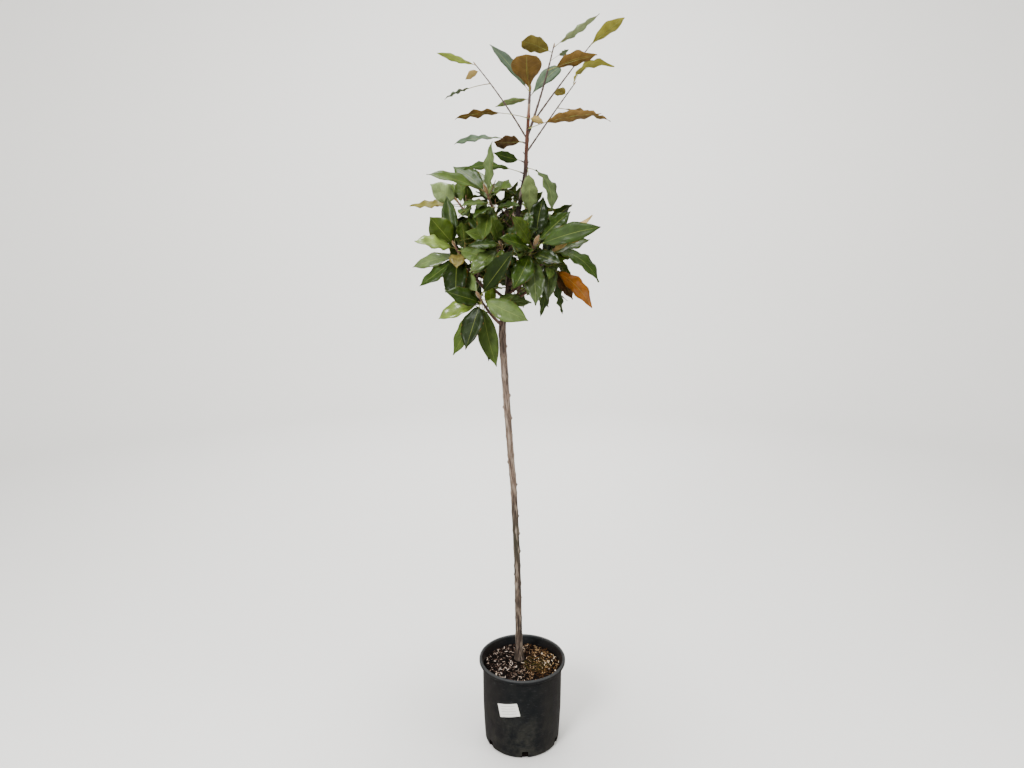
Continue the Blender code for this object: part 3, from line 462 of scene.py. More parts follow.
# %% Sizes of the trunk and limbs
MIX_HEIGHT = 0.254
GOLDEN_ANGLE = math.radians(137.5)
CURVE_STEPS = 24
TRUNK_LINE = (
    (-0.009, 0.030, MIX_HEIGHT + GAP),
    (-0.013, 0.024, 0.450),
    (-0.017, 0.016, 0.610),
    (-0.028, 0.006, 0.846),
    (-0.037, 0.000, 0.962),
    (-0.053, 0.000, 1.181),
    (-0.062, 0.000, 1.355),
    (-0.049, 0.000, 1.420),
    (-0.039, 0.000, 1.549),
    (-0.015, 0.000, 1.692),
    (0.004, 0.000, 1.795),
    (0.0075, 0.000, 1.856),
    (0.015, 0.000, 1.988),
)
TRUNK_RADII = (0.0115, 0.0108, 0.0102, 0.0100, 0.0102, 0.0105, 0.0112)
TRUNK_RADII += (0.0085, 0.0078, 0.0070, 0.0062, 0.0055, 0.0042)
TRUNK_SIDES = 9
TRUNK_RINGS = 48
FLARE_HEIGHT = 0.045
FLARE_RADIUS = 0.0060
SCAR_SPACING = 0.062
SCAR_RADIUS = 0.0011
SCAR_LENGTH = 0.007

# %% Rows for the limbs and spurs
Limb = namedtuple("Limb", "start bud bare thick thin sweep carrier", defaults=("trunk",))
LIMBS = {
    "front_left": Limb(1.362, (-0.124, -0.120, 1.453), 0.66, 0.0052, 0.0040, (0.55, 0.35)),
    "left": Limb(1.410, (-0.198, -0.030, 1.595), 0.70, 0.0055, 0.0040, (0.62, 0.42)),
    "upper_left": Limb(1.540, (-0.192, 0.030, 1.722), 0.68, 0.0050, 0.0038, (0.48, 0.44)),
    "upper_front": Limb(1.585, (-0.104, -0.050, 1.741), 0.66, 0.0046, 0.0036, (0.50, 0.38)),
    "front_right": Limb(1.480, (0.029, -0.120, 1.598), 0.66, 0.0050, 0.0038, (0.55, 0.38)),
    "right": Limb(1.455, (0.078, -0.060, 1.575), 0.68, 0.0048, 0.0036, (0.55, 0.38)),
    "low_right": Limb(1.422, (0.087, 0.010, 1.535), 0.68, 0.0046, 0.0034, (0.50, 0.32)),
    "front_middle": Limb(1.520, (-0.066, -0.105, 1.600), 0.60, 0.0042, 0.0034, (0.50, 0.36)),
    "back_left": Limb(1.438, (-0.150, 0.115, 1.535), 0.58, 0.0050, 0.0036, (0.56, 0.36)),
    "back_low": Limb(1.392, (0.000, 0.125, 1.490), 0.58, 0.0048, 0.0036, (0.56, 0.34)),
    "back_right": Limb(1.500, (0.088, 0.105, 1.612), 0.58, 0.0046, 0.0034, (0.55, 0.38)),
    "back_high": Limb(1.610, (-0.030, 0.098, 1.705), 0.56, 0.0042, 0.0032, (0.55, 0.40)),
    "back_upper_left": Limb(1.560, (-0.130, 0.110, 1.650), 0.58, 0.0044, 0.0034, (0.52, 0.40)),
    "back_middle": Limb(1.470, (-0.055, 0.165, 1.590), 0.58, 0.0046, 0.0034, (0.56, 0.38)),
    "tall_shoot": Limb(1.899, (0.082, -0.010, 2.136), 0.70, 0.0038, 0.0022, (0.58, 0.47)),
    "right_shoot": Limb(
        1.934, (0.191, 0.040, 2.156), 0.76, 0.0028, 0.0018, (0.47, 0.50), carrier="tall_shoot"
    ),
    "low_shoot": Limb(1.856, (0.136, -0.050, 2.028), 0.62, 0.0027, 0.0017, (0.50, 0.52)),
    "left_shoot": Limb(1.893, (-0.134, -0.015, 2.088), 0.70, 0.0027, 0.0017, (0.47, 0.56)),
}

Spur = namedtuple("Spur", "height bearing reach")
SPURS = {
    "crossing_leaves": Spur(1.944, 270, 0.013),
    "low_front_leaf": Spur(1.916, 285, 0.014),
    "upper_left_leaves": Spur(1.880, 205, 0.015),
    "middle_left_leaf": Spur(1.828, 205, 0.016),
    "lower_left_leaf": Spur(1.797, 205, 0.016),
    "hanging_leaves": Spur(1.808, 300, 0.015),
}
SPUR_RADIUS = 0.0026
SPUR_RISE = 20
SPUR_RINGS = 3
TUFT_REACH = 0.034
LIMB_STEPS = 20
LIMB_SWEEP_STEPS = 8
BOUGH_RINGS = 6
BOUGH_SIDES = 6
STEM_RINGS = 4
STEM_SIDES = 6
STEM_TAPER = 0.8
print("limbs:", len(LIMBS), "spurs:", len(SPURS))

# %% [markdown]
# ## The leaves that show
# Each leaf that can be picked out from the front has a row: which way it points, its length
# and width in millimetres, how far its blade bends, and, where it isn't the spray's own, how
# far up the stem it grows and which way its upper face turns. The sprays at the back have no
# rows. They take theirs from a seeded rule.

# %% Leaf rows of the head
PETIOLE_SHARE = 0.14
BLADE_FULLEST = 0.48
Leaf = namedtuple(
    "Leaf",
    "bearing rise length width bend at facing stalk fullest",
    defaults=(20, None, None, PETIOLE_SHARE, BLADE_FULLEST),
)
UPPER_SHOWS = (270, 45)
UNDERSIDE_SHOWS = (90, 45)
EDGE_SHOWS = (90, 76)
FACINGS = {
    "front_left": (258, 30),
    "left": (250, 35),
    "upper_left": (240, 50),
    "upper_front": (255, 45),
    "front_right": (275, 35),
    "right": (290, 55),
    "low_right": (300, 40),
    "front_middle": (265, 35),
}
SHOWN_LEAVES = {
    "front_left": (
        Leaf(323, 47, 177, 68, 14),
        Leaf(339, -22, 155, 66, 20),
        Leaf(326, -74, 194, 58, 16),
        Leaf(248, -50, 165, 66, 20),
        Leaf(162, -60, 180, 52, 20),
        Leaf(170, -20, 140, 52, 24),
        Leaf(211, 18, 125, 56, 18),
        Leaf(77, -74, 175, 50, 12),
        Leaf(32, 1, 160, 50, 16),
    ),
    "left": (
        Leaf(200, 48, 108, 74, 12, facing=(262, 12)),
        Leaf(136, 76, 150, 52, 12, facing=(262, 12)),
        Leaf(218, 8, 140, 60, 20),
        Leaf(320, -14, 135, 56, 28),
        Leaf(280, -53, 172, 76, 18),
        Leaf(270, -25, 96, 52, 20, facing=(90, 30)),
        Leaf(168, -14, 150, 50, 14),
        Leaf(180, -35, 150, 48, 16),
    ),
    "upper_left": (
        Leaf(202, 30, 96, 60, 14, facing=(262, 15)),
        Leaf(125, 34, 110, 46, 16),
        Leaf(161, 0, 165, 34, 12),
        Leaf(92, 66, 100, 42, 12),
        Leaf(161, 5, 150, 24, 14),
        Leaf(252, -26, 110, 46, 20),
    ),
    "upper_front": (
        Leaf(208, 13, 185, 52, 26),
        Leaf(142, 33, 155, 60, 22),
        Leaf(281, 63, 155, 38, 8),
        Leaf(303, 10, 125, 54, 24),
        Leaf(61, 29, 130, 50, 20),
        Leaf(260, -49, 150, 60, 16),
        Leaf(232, -7, 125, 46, 22),
        Leaf(123, 52, 125, 46, 18),
    ),
    "front_right": (
        Leaf(69, 61, 150, 60, 10),
        Leaf(27, 39, 150, 56, 16),
        Leaf(352, 16, 192, 66, 24),
        Leaf(235, 40, 130, 56, 14),
        Leaf(227, 13, 135, 54, 20),
        Leaf(243, -42, 150, 62, 18),
        Leaf(278, -60, 165, 58, 20),
        Leaf(309, -12, 130, 52, 24),
    ),
    "right": (
        Leaf(324, -27, 175, 64, 80, facing=(300, 45)),
        Leaf(57, 46, 130, 50, 14),
        Leaf(265, -56, 150, 52, 20),
        Leaf(19, 21, 140, 50, 20),
        Leaf(93, 55, 120, 46, 16),
        Leaf(3, 43, 180, 38, 14),
    ),
    "low_right": (
        Leaf(350, -58, 113, 48, 24, facing=(285, 10)),
        Leaf(349, -44, 168, 58, 46, facing=(300, 22)),
        Leaf(51, -65, 150, 36, 16),
        Leaf(112, -66, 155, 36, 16),
        Leaf(36, -24, 120, 48, 22),
    ),
    "front_middle": (
        Leaf(255, 40, 110, 48, 18),
        Leaf(200, 20, 105, 48, 20),
        Leaf(320, 24, 115, 48, 20),
        Leaf(240, -35, 120, 52, 22),
        Leaf(300, -48, 125, 54, 22),
        Leaf(180, -40, 110, 46, 22),
        Leaf(20, 50, 105, 46, 16),
    ),
}

# %% Leaf rows above the head
SHOWN_LEAVES |= {
    "top_tuft": (
        Leaf(142, -3, 125, 28, 16, 0.40, (90, 62), stalk=0.08),
        Leaf(147, 47, 200, 42, 14, 0.92, UPPER_SHOWS, stalk=0.10, fullest=0.53),
        Leaf(265, 25, 150, 84, 12, 0.94, UNDERSIDE_SHOWS, stalk=0.06, fullest=0.66),
        Leaf(32, 42, 140, 48, 16, 0.55, UPPER_SHOWS, stalk=0.08, fullest=0.60),
    ),
    "crossing_leaves": (
        Leaf(205, -5, 222, 32, 40, 0.95, (90, 60), stalk=0.38),
        Leaf(344, -16, 48, 26, 20, 0.80, UNDERSIDE_SHOWS),
    ),
    "low_front_leaf": (Leaf(326, 4, 228, 42, 24, 0.95, (90, 60), stalk=0.24),),
    "upper_left_leaves": (
        Leaf(157, 2, 220, 36, 36, 0.95, (270, 48), stalk=0.26, fullest=0.66),
        Leaf(225, -6, 115, 50, 6, 0.80, UNDERSIDE_SHOWS),
    ),
    "middle_left_leaf": (Leaf(218, 8, 100, 32, 14, 0.95, (270, 10)),),
    "lower_left_leaf": (Leaf(212, 0, 172, 36, 38, 0.95, UPPER_SHOWS, stalk=0.22),),
    "hanging_leaves": (
        Leaf(305, -50, 165, 60, 84, 0.95, (325, 35)),
        Leaf(0, -87, 125, 52, 34, 0.80, (290, 20)),
    ),
    "tall_shoot": (
        Leaf(24, 36, 180, 24, 10, 0.97, UNDERSIDE_SHOWS),
        Leaf(215, 7, 105, 48, 14, 0.80, UNDERSIDE_SHOWS, stalk=0.12, fullest=0.56),
        Leaf(18, 32, 65, 15, 10, 0.50, UNDERSIDE_SHOWS, stalk=0.48),
        Leaf(325, 6, 155, 44, 18, 0.16, UNDERSIDE_SHOWS, stalk=0.18),
    ),
    "right_shoot": (Leaf(300, 12, 155, 38, 14, 0.95, UNDERSIDE_SHOWS, stalk=0.04, fullest=0.56),),
    "low_shoot": (
        Leaf(25, 25, 145, 42, 100, 0.97, (90, 65), stalk=0.04, fullest=0.36),
        Leaf(228, 6, 48, 32, 14, 0.62, UNDERSIDE_SHOWS),
        Leaf(17, -9, 165, 26, 14, 0.12, EDGE_SHOWS),
    ),
    "left_shoot": (
        Leaf(159, 20, 130, 24, 16, 0.97, UNDERSIDE_SHOWS, stalk=0.06, fullest=0.60),
        Leaf(197, -33, 50, 24, 20, 0.75, UNDERSIDE_SHOWS),
        Leaf(156, -11, 150, 16, 22, 0.14, EDGE_SHOWS, stalk=0.45),
    ),
}
RULE_SPRAYS = {  # side twigs, leaves on the stem and on each twig, seed
    "back_left": (2, 6, 11),
    "back_low": (2, 5, 23),
    "back_right": (2, 6, 37),
    "back_high": (2, 5, 41),
    "back_upper_left": (2, 5, 59),
    "back_middle": (2, 6, 67),
}

# %% Sizes that the rule uses
PETIOLE_WIDTH = 0.0026
BLADE_THICKNESS_SHARE = 0.0125
BLADE_THINNEST = 0.0012
BLADE_STATIONS = (0.19, 0.49, 0.79)
LEAF_TEST_MARGIN = 0.0012
LEAF_NUDGES = (0, 5, -5, 10, -10, 16, -16, 23, -23, 31, -31)
LEAF_SPACING = 0.0048
LOWEST_LEAF = 0.25
HEAD_CENTRE = Vector((-0.050, 0.010, 1.580))
HEAD_REACH = Vector((0.255, 0.275, 0.215))
TWIG_LENGTHS = (0.045, 0.075)
TWIG_RADIUS = 0.0028
TWIG_SIDES = 5
TWIG_PLACES = (0.25, 0.45)
TWIG_TURN = GOLDEN_ANGLE * 1.4
TWIG_LIFT = 0.012
TWIG_BOW = 0.004
TWIG_OPENING = math.radians(52)
BUD_STATIONS = ((-0.004, 0.8), (0.002, 1.25), (0.009, 0.95), (0.016, 0.25))
RULE_LEAF_LENGTHS = (115, 160)
RULE_SHORTEST_LEAF = 80
RULE_SHORTENING = 0.93
RULE_LEAF_WIDTH = (0.34, 0.40)
RULE_LEAF_BENDS = (16, 30)
RULE_OPENINGS = (math.radians(38), math.radians(100))
RULE_SAG = 0.22
RULE_LEAF_STEP = 0.13
RULE_UPWARD = 0.6
print("leaves with a row:", sum(len(rows) for rows in SHOWN_LEAVES.values()))


# %% Lines
def direction(bearing, rise):
    """The unit vector with this bearing and rise, in degrees."""
    bearing = math.radians(bearing)
    rise = math.radians(rise)
    level = math.cos(rise)
    return Vector((level * math.cos(bearing), level * math.sin(bearing), math.sin(rise)))


def smooth_line(points, count):
    """A smooth curve through the points, as count + 1 points spread evenly along it."""
    points = [Vector(p) for p in points]
    ends = [2 * points[0] - points[1], *points, 2 * points[-1] - points[-2]]
    dense = []
    for before, start, end, after in zip(ends, ends[1:], ends[2:], ends[3:]):
        for step in range(CURVE_STEPS):
            t = step / CURVE_STEPS
            place = 2 * start + (end - before) * t
            place += (2 * before - 5 * start + 4 * end - after) * t**2
            place += (3 * start - before - 3 * end + after) * t**3
            dense.append(0.5 * place)
    dense.append(points[-1])
    lengths = [0.0]
    for first, second in zip(dense, dense[1:]):
        lengths.append(lengths[-1] + (second - first).length)
    line = []
    k = 0
    for i in range(count + 1):
        target = lengths[-1] * i / count
        while k < len(dense) - 2 and lengths[k + 1] < target:
            k += 1
        share = (target - lengths[k]) / (lengths[k + 1] - lengths[k])
        line.append(dense[k].lerp(dense[k + 1], share))
    return line


# %% Places along a line
def point_at(line, share):
    """The point this share of the way along an evenly spread line, and the line's direction."""
    place = min(max(share, 0.0), 1.0) * (len(line) - 1)
    k = min(int(place), len(line) - 2)
    return line[k].lerp(line[k + 1], place - k), (line[k + 1] - line[k]).normalized()


def share_at_height(line, height):
    """How far along a rising line it passes a height."""
    for k, (first, second) in enumerate(zip(line, line[1:])):
        if first.z <= height <= second.z:
            return (k + (height - first.z) / (second.z - first.z)) / (len(line) - 1)
    return 1.0


def cut_line(line, first, last, count):
    """The stretch of a line between two shares."""
    return [point_at(line, first + (last - first) * i / count)[0] for i in range(count + 1)]


def line_length(line):
    return sum((second - first).length for first, second in zip(line, line[1:]))


def tapered(thick, thin, count):
    return [thick + (thin - thick) * i / count for i in range(count + 1)]


def sideways(axis, turn):
    """The direction at right angles to an axis, turned round it by an angle."""
    side = axis.orthogonal().normalized()
    return side * math.cos(turn) + axis.cross(side) * math.sin(turn)


def twig_line(stem_line, share, turn, length, sweep, count):
    """A twig's line: out from its stem at an angle, then bowed and lifted by its sweep."""
    start, axis = point_at(stem_line, share)
    out = sideways(axis, turn)
    heading = axis * math.cos(TWIG_OPENING) + out * math.sin(TWIG_OPENING)
    end = start + heading * length + UP * TWIG_LIFT * sweep
    return smooth_line((start, start.lerp(end, 0.5) + out * TWIG_BOW * sweep, end), count)


# %% Trunk and limbs as the rule sees them
def loft_faces(sides, rings):
    """The first cap and the side faces of rings of points that follow one another."""
    faces = [tuple(reversed(range(sides)))]
    for low in range(0, sides * (rings - 1), sides):
        high = low + sides
        for k in range(sides):
            m = (k + 1) % sides
            faces.append((low + k, low + m, high + m, high + k))
    return faces


def tube_shape(line, radii, sides):
    """The points and faces of a closed tube round a line."""
    tangent = (line[1] - line[0]).normalized()
    side = tangent.orthogonal().normalized()
    points = []
    for i, centre in enumerate(line):
        nxt = line[min(i + 1, len(line) - 1)]
        last = line[max(i - 1, 0)]
        tangent = (nxt - last).normalized()
        side = (side - side.dot(tangent) * tangent).normalized()
        across = tangent.cross(side)
        for k in range(sides):
            turn = math.tau * k / sides
            points.append(centre + radii[i] * (math.cos(turn) * side + math.sin(turn) * across))
    last_ring = tuple(range((len(line) - 1) * sides, len(line) * sides))
    return points, loft_faces(sides, len(line)) + [last_ring]


def trunk_radius(height):
    """The trunk's radius: its taper, the root flare and a swelling at each old leaf scar."""
    heights = [point[2] for point in TRUNK_LINE]
    k = max([j for j in range(len(heights) - 1) if heights[j] <= height], default=0)
    share = (height - heights[k]) / (heights[k + 1] - heights[k])
    radius = TRUNK_RADII[k] + (TRUNK_RADII[k + 1] - TRUNK_RADII[k]) * share
    radius += FLARE_RADIUS * max(0.0, 1 - (height - heights[0]) / FLARE_HEIGHT) ** 2
    from_scar = (height / SCAR_SPACING) % 1.0 - 0.5
    return radius + SCAR_RADIUS * math.exp(-((from_scar * SCAR_SPACING / SCAR_LENGTH) ** 2))


def trunk_shape():
    """The trunk's line and shape, cut off level at its foot."""
    line = smooth_line(TRUNK_LINE, TRUNK_RINGS)
    points, faces = tube_shape(line, [trunk_radius(point.z) for point in line], TRUNK_SIDES)
    for point in points[:TRUNK_SIDES]:
        point.z = line[0].z
    return line, (points, faces)


def limb_line(limb, carrier_line):
    """A limb's line: out from its carrier's centre, sweeping up to its bud."""
    start, _ = point_at(carrier_line, share_at_height(carrier_line, limb.start))
    span = Vector(limb.bud) - start
    out, lift = limb.sweep
    bend = start + Vector((span.x * out, span.y * out, span.z * lift))
    shares = [step / LIMB_SWEEP_STEPS for step in range(LIMB_SWEEP_STEPS + 1)]
    curve = [start.lerp(bend, t).lerp(bend.lerp(start + span, t), t) for t in shares]
    return smooth_line(curve, LIMB_STEPS)


# %% Leaves and buds as the rule sees them
def blade_width(share, fullest):
    """A blade's width, as a share of its widest, from its base to its tip."""
    power = math.log(0.5) / math.log(fullest)
    return max(0.0, math.sin(math.pi * share**power)) ** 0.8


def midrib(leaf, root, facing, at):
    """The point this far along a leaf, and the directions of its tip, side and upper face."""
    chord = direction(leaf.bearing, leaf.rise)
    upper = (facing - facing.dot(chord) * chord).normalized()
    half = math.radians(leaf.bend) / 2
    radius = leaf.length * MM / (2 * math.sin(half))
    angle = half * (1 - 2 * at)
    place = root + chord * radius * (math.sin(half) - math.sin(angle))
    place += upper * radius * (math.cos(angle) - math.cos(half))
    along = chord * math.cos(angle) + upper * math.sin(angle)
    normal = upper * math.cos(angle) - chord * math.sin(angle)
    return place, along, along.cross(normal), normal


def leaf_shape(leaf, root, facing, margin=0.0):
    """A leaf as a closed loft of diamond sections: petiole, blade and pointed tip."""
    points = []
    stations = [0.0, leaf.stalk]
    stations += [leaf.stalk + (1 - leaf.stalk) * share for share in BLADE_STATIONS]
    for i, at in enumerate(stations):
        place, _, side, normal = midrib(leaf, root, facing, at)
        if i < 2:
            half_width = PETIOLE_WIDTH / 2
            half_thickness = PETIOLE_WIDTH / 2
        else:
            half_width = leaf.width * MM / 2 * blade_width(BLADE_STATIONS[i - 2], leaf.fullest)
            half_thickness = max(BLADE_THINNEST, leaf.length * MM * BLADE_THICKNESS_SHARE) / 2
        half_width += margin
        half_thickness += margin
        points += [
            place + side * half_width,
            place + normal * half_thickness,
            place - side * half_width,
            place - normal * half_thickness,
        ]
    tip, along, _, _ = midrib(leaf, root, facing, 1.0)
    points.append(tip + along * margin)
    last = 4 * (len(stations) - 1)
    point_faces = [(last + k, last + (k + 1) % 4, last + 4) for k in range(4)]
    return points, loft_faces(4, len(stations)) + point_faces


def bud_shape(line, radius):
    """The pointed bud that ends a stem."""
    end, axis = point_at(line, 1.0)
    centres = [end + axis * along for along, _ in BUD_STATIONS]
    return tube_shape(centres, [radius * width for _, width in BUD_STATIONS], TWIG_SIDES)


# %% Leaves that keep clear of each other
def tree_of(shape):
    return BVHTree.FromPolygons([tuple(p) for p in shape[0]], shape[1])


def blade_tree(shape):
    """The tree of a leaf without its petiole, which may touch its neighbours on the same stem."""
    points, faces = shape
    return BVHTree.FromPolygons([tuple(p) for p in points], [f for f in faces if min(f) >= 4])


def touches(tree, others):
    return any(tree.overlap(other) for other in others)


def placed_leaf(leaf, root, facing, others, own):
    """The leaf turned as little as clears its neighbours, or None where it fits nowhere."""
    for rivals in (others + own, others):
        for lift in LEAF_NUDGES:
            for turn in LEAF_NUDGES:
                tried = leaf._replace(bearing=leaf.bearing + turn, rise=leaf.rise + lift)
                shape = leaf_shape(tried, root, facing, LEAF_TEST_MARGIN)
                tree = tree_of(shape) if rivals is others else blade_tree(shape)
                if touches(tree, rivals) or touches(tree_of(shape), others):
                    continue
                return tried
    return None


def in_head(point, reach=1.0):
    """Whether a point lies inside the round head of leaves, or inside a share of its reach."""
    away = point - HEAD_CENTRE
    return sum((away[i] / HEAD_REACH[i]) ** 2 for i in range(3)) < reach**2


# %% Leaves and twigs that the seeded rule grows
def rule_leaves(rng, bud, axis, count):
    """Leaves that spiral down from a bud by the golden angle, opening wider as they get older."""
    phase = rng.uniform(0, math.tau)
    leaves = []
    for i in range(count):
        opening = RULE_OPENINGS[0] + (RULE_OPENINGS[1] - RULE_OPENINGS[0]) * i / count
        heading = axis * math.cos(opening)
        heading += sideways(axis, phase + GOLDEN_ANGLE * i) * math.sin(opening)
        heading.z -= RULE_SAG
        heading.normalize()
        length = rng.uniform(*RULE_LEAF_LENGTHS)
        width = length * rng.uniform(*RULE_LEAF_WIDTH)
        bend = rng.uniform(*RULE_LEAF_BENDS)
        while length > RULE_SHORTEST_LEAF and not in_head(bud + heading * length * MM):
            length *= RULE_SHORTENING
            width *= RULE_SHORTENING
        bearing = math.degrees(math.atan2(heading.y, heading.x))
        rise = math.degrees(math.asin(heading.z))
        leaves.append(Leaf(bearing, rise, length, width, bend))
    return leaves


def side_twigs(rng, stem_line, count):
    """Side twigs that leave a stem in turn, each turned on from the last, as lines."""
    phase = rng.uniform(0, math.tau)
    twigs = []
    for i in range(count):
        length = rng.uniform(*TWIG_LENGTHS)
        twigs.append(twig_line(stem_line, TWIG_PLACES[i], phase + TWIG_TURN * i, length, 1, 4))
    return twigs


# %% Stems and the leaves that they carry
def trace_limbs():
    """Every limb's full line, the trunk's first."""
    lines = {"trunk": trunk_shape()[0]}
    for name, limb in LIMBS.items():
        lines[name] = limb_line(limb, lines[limb.carrier])
    return lines


def trace_stems(lines):
    """The line and radius of each spray's stem."""
    stems = {}
    for name, limb in LIMBS.items():
        line = lines[name]
        bare = limb.bare + GAP / line_length(line)
        stems[name] = (cut_line(line, bare, 1.0, STEM_RINGS), limb.thin)
    trunk = lines["trunk"]
    for name, spur in SPURS.items():
        start, _ = point_at(trunk, share_at_height(trunk, spur.height))
        end = start + direction(spur.bearing, SPUR_RISE) * spur.reach
        stems[name] = (smooth_line((start, end), SPUR_RINGS), SPUR_RADIUS)
    tip, axis = point_at(trunk, 1.0)
    tuft = (tip + axis * GAP, tip + axis * TUFT_REACH)
    stems["top_tuft"] = (smooth_line(tuft, SPUR_RINGS), TRUNK_RADII[-1])
    return stems


def leaf_sources(name, line, twigs):
    """Each leaf of a spray, with its root and the way that its upper face turns."""
    if name in SHOWN_LEAVES:
        spacing = LEAF_SPACING / line_length(line)
        for i, leaf in enumerate(SHOWN_LEAVES[name]):
            share = max(LOWEST_LEAF, 1 - spacing * i) if leaf.at is None else leaf.at
            root, _ = point_at(line, share)
            yield leaf, root, direction(*(leaf.facing or FACINGS[name]))
        return
    rng = random.Random(name)
    for twig in (line, *twigs):
        bud, axis = point_at(twig, 1.0)
        for i, leaf in enumerate(rule_leaves(rng, bud, axis, RULE_SPRAYS[name][1])):
            root, _ = point_at(twig, 1 - RULE_LEAF_STEP * i)
            yield leaf, root, (axis + UP * RULE_UPWARD).normalized()


def stem_shapes(name, line, radius, twigs):
    """The shapes of a spray's stem, its bud, and its twigs with theirs."""
    shapes = [tube_shape(line, tapered(radius, radius * STEM_TAPER, len(line) - 1), STEM_SIDES)]
    if name not in SPURS:
        shapes.append(bud_shape(line, radius * STEM_TAPER))
    for twig in twigs:
        radii = tapered(TWIG_RADIUS, TWIG_RADIUS * STEM_TAPER, len(twig) - 1)
        shapes.append(tube_shape(twig, radii, TWIG_SIDES))
        shapes.append(bud_shape(twig, TWIG_RADIUS * STEM_TAPER))
    return shapes


# %% Growing the plant
lines = trace_limbs()
stems = trace_stems(lines)
side_stems = {name: () for name in stems}
for name, (count, _, seed) in RULE_SPRAYS.items():
    side_stems[name] = side_twigs(random.Random(seed), stems[name][0], count)
wood_trees = [tree_of(trunk_shape()[1])]
for name, limb in LIMBS.items():
    bare_line = cut_line(lines[name], 0.0, limb.bare, BOUGH_RINGS)
    bare_radii = tapered(limb.thick, limb.thin, BOUGH_RINGS)
    wood_trees.append(tree_of(tube_shape(bare_line, bare_radii, BOUGH_SIDES)))
stem_trees = {
    name: [tree_of(shape) for shape in stem_shapes(name, line, radius, side_stems[name])]
    for name, (line, radius) in stems.items()
}
leaf_trees = {name: [] for name in stems}
grown = []
for name, (line, _) in stems.items():
    rivals = list(wood_trees)
    for other in stems:
        if other != name:
            rivals += leaf_trees[other] + stem_trees[other]
    own = []
    for row, (leaf, root, facing) in enumerate(leaf_sources(name, line, side_stems[name])):
        leaf = placed_leaf(leaf, root, facing, rivals, own)
        if leaf is None:
            continue
        shape = leaf_shape(leaf, root, facing)
        own.append(blade_tree(shape))
        leaf_trees[name].append(tree_of(shape))
        grown.append((name, row, leaf, root, facing))
print("leaves grown:", len(grown))

# %% [markdown]
# ## Finer twigs
# The solids stop at the boughs and a few twigs. On the real plant the boughs also carry short
# spurs with smaller leaves, which fill the middle of the head and shade it. They leave each
# bough a golden angle apart, and a leaf is kept only where it stays in the middle of the head
# and clears everything that is already there.

# %% Fine twigs and inner leaves
FINE_TWIGS = 5
FINE_FIRST = 0.40
FINE_LAST = 0.96
FINE_LENGTHS = (0.022, 0.050)
FINE_RADIUS = 0.0015
FINE_SWEEP = 0.5
FINE_RINGS = 8
FINE_LEAVES = 4
FINE_LEAF_LENGTHS = (78, 112)
FINE_LEAF_WIDTH = (0.36, 0.44)
FINE_LEAF_STEP = 0.08
FINE_REACH = 0.80
FINE_NUDGES = ((0, 0), (14, 0), (-14, 0), (0, 16), (0, -16))
FINE_NUDGES += ((26, 10), (-26, 10), (18, -24), (-18, -24))

fine_twigs = []
inner = []
standing = list(wood_trees)
for name in stems:
    standing += stem_trees[name] + leaf_trees[name]
for name, limb in LIMBS.items():
    if limb.carrier != "trunk" or limb.start > HEAD_CENTRE.z + HEAD_REACH.z:
        continue
    rng = random.Random("fine " + name)
    phase = rng.uniform(0, math.tau)
    for index in range(FINE_TWIGS):
        share = FINE_FIRST + (FINE_LAST - FINE_FIRST) * (index + rng.random()) / FINE_TWIGS
        length = rng.uniform(*FINE_LENGTHS)
        turn = phase + GOLDEN_ANGLE * index
        twig = twig_line(lines[name], share, turn, length, FINE_SWEEP, FINE_RINGS)
        bud, axis = point_at(twig, 1.0)
        kept = 0
        for row, leaf in enumerate(rule_leaves(rng, bud, axis, FINE_LEAVES)):
            length = rng.uniform(*FINE_LEAF_LENGTHS)
            leaf = leaf._replace(length=length, width=length * rng.uniform(*FINE_LEAF_WIDTH))
            root, _ = point_at(twig, 1 - FINE_LEAF_STEP * row)
            facing = (axis + UP * RULE_UPWARD).normalized()
            for turn, lift in FINE_NUDGES:
                tried = leaf._replace(bearing=leaf.bearing + turn, rise=leaf.rise + lift)
                if not in_head(midrib(tried, root, facing, 1.0)[0], FINE_REACH):
                    continue
                tree = blade_tree(leaf_shape(tried, root, facing))
                if not touches(tree, standing):
                    standing.append(tree)
                    inner.append(("inner", len(inner), tried, root, facing))
                    kept += 1
                    break
        if kept:
            fine_twigs.append(twig)
print("fine twigs:", len(fine_twigs), "inner leaves:", len(inner))

# %% [markdown]
# ## Wood
# Trunk, boughs, twigs and leaf stalks are all round and tapering, so each is a strand: a line
# with a radius at every point. A curve object takes many strands at once, its bevel makes
# them round, and it is then converted to a mesh. Swellings where leaves once grew are put in
# the radii, so they are real shape.


# %% Round strands
NODE_UNEVENNESS = (0.7, 1.3)
NODE_WIDTH = 0.14
NODE_MOST = 1.2


def strands_piece(name, strands, resolution):
    """One mesh of many round tapering strands, each a list of points and a list of radii."""
    bpy.ops.curve.primitive_nurbs_path_add()
    piece = bpy.context.object
    piece.name = name
    curve = piece.data
    curve.splines.clear()
    for points, radii in strands:
        spline = curve.splines.new("POLY")
        spline.points.add(len(points) - 1)
        for point, place, radius in zip(spline.points, points, radii):
            point.co = (*place, 1.0)
            point.radius = radius / MM
        spline.use_smooth = True
    curve.dimensions = "3D"
    curve.twist_mode = "MINIMUM"
    curve.bevel_depth = MM
    curve.bevel_resolution = resolution
    curve.use_fill_caps = True
    bpy.ops.object.convert(target="MESH")
    piece = bpy.context.object
    bpy.ops.object.mode_set(mode="EDIT")
    bpy.ops.mesh.select_all(action="SELECT")
    bpy.ops.mesh.remove_doubles(threshold=1e-6)
    bpy.ops.mesh.normals_make_consistent(inside=False)
    bpy.ops.object.mode_set(mode="OBJECT")
    return piece


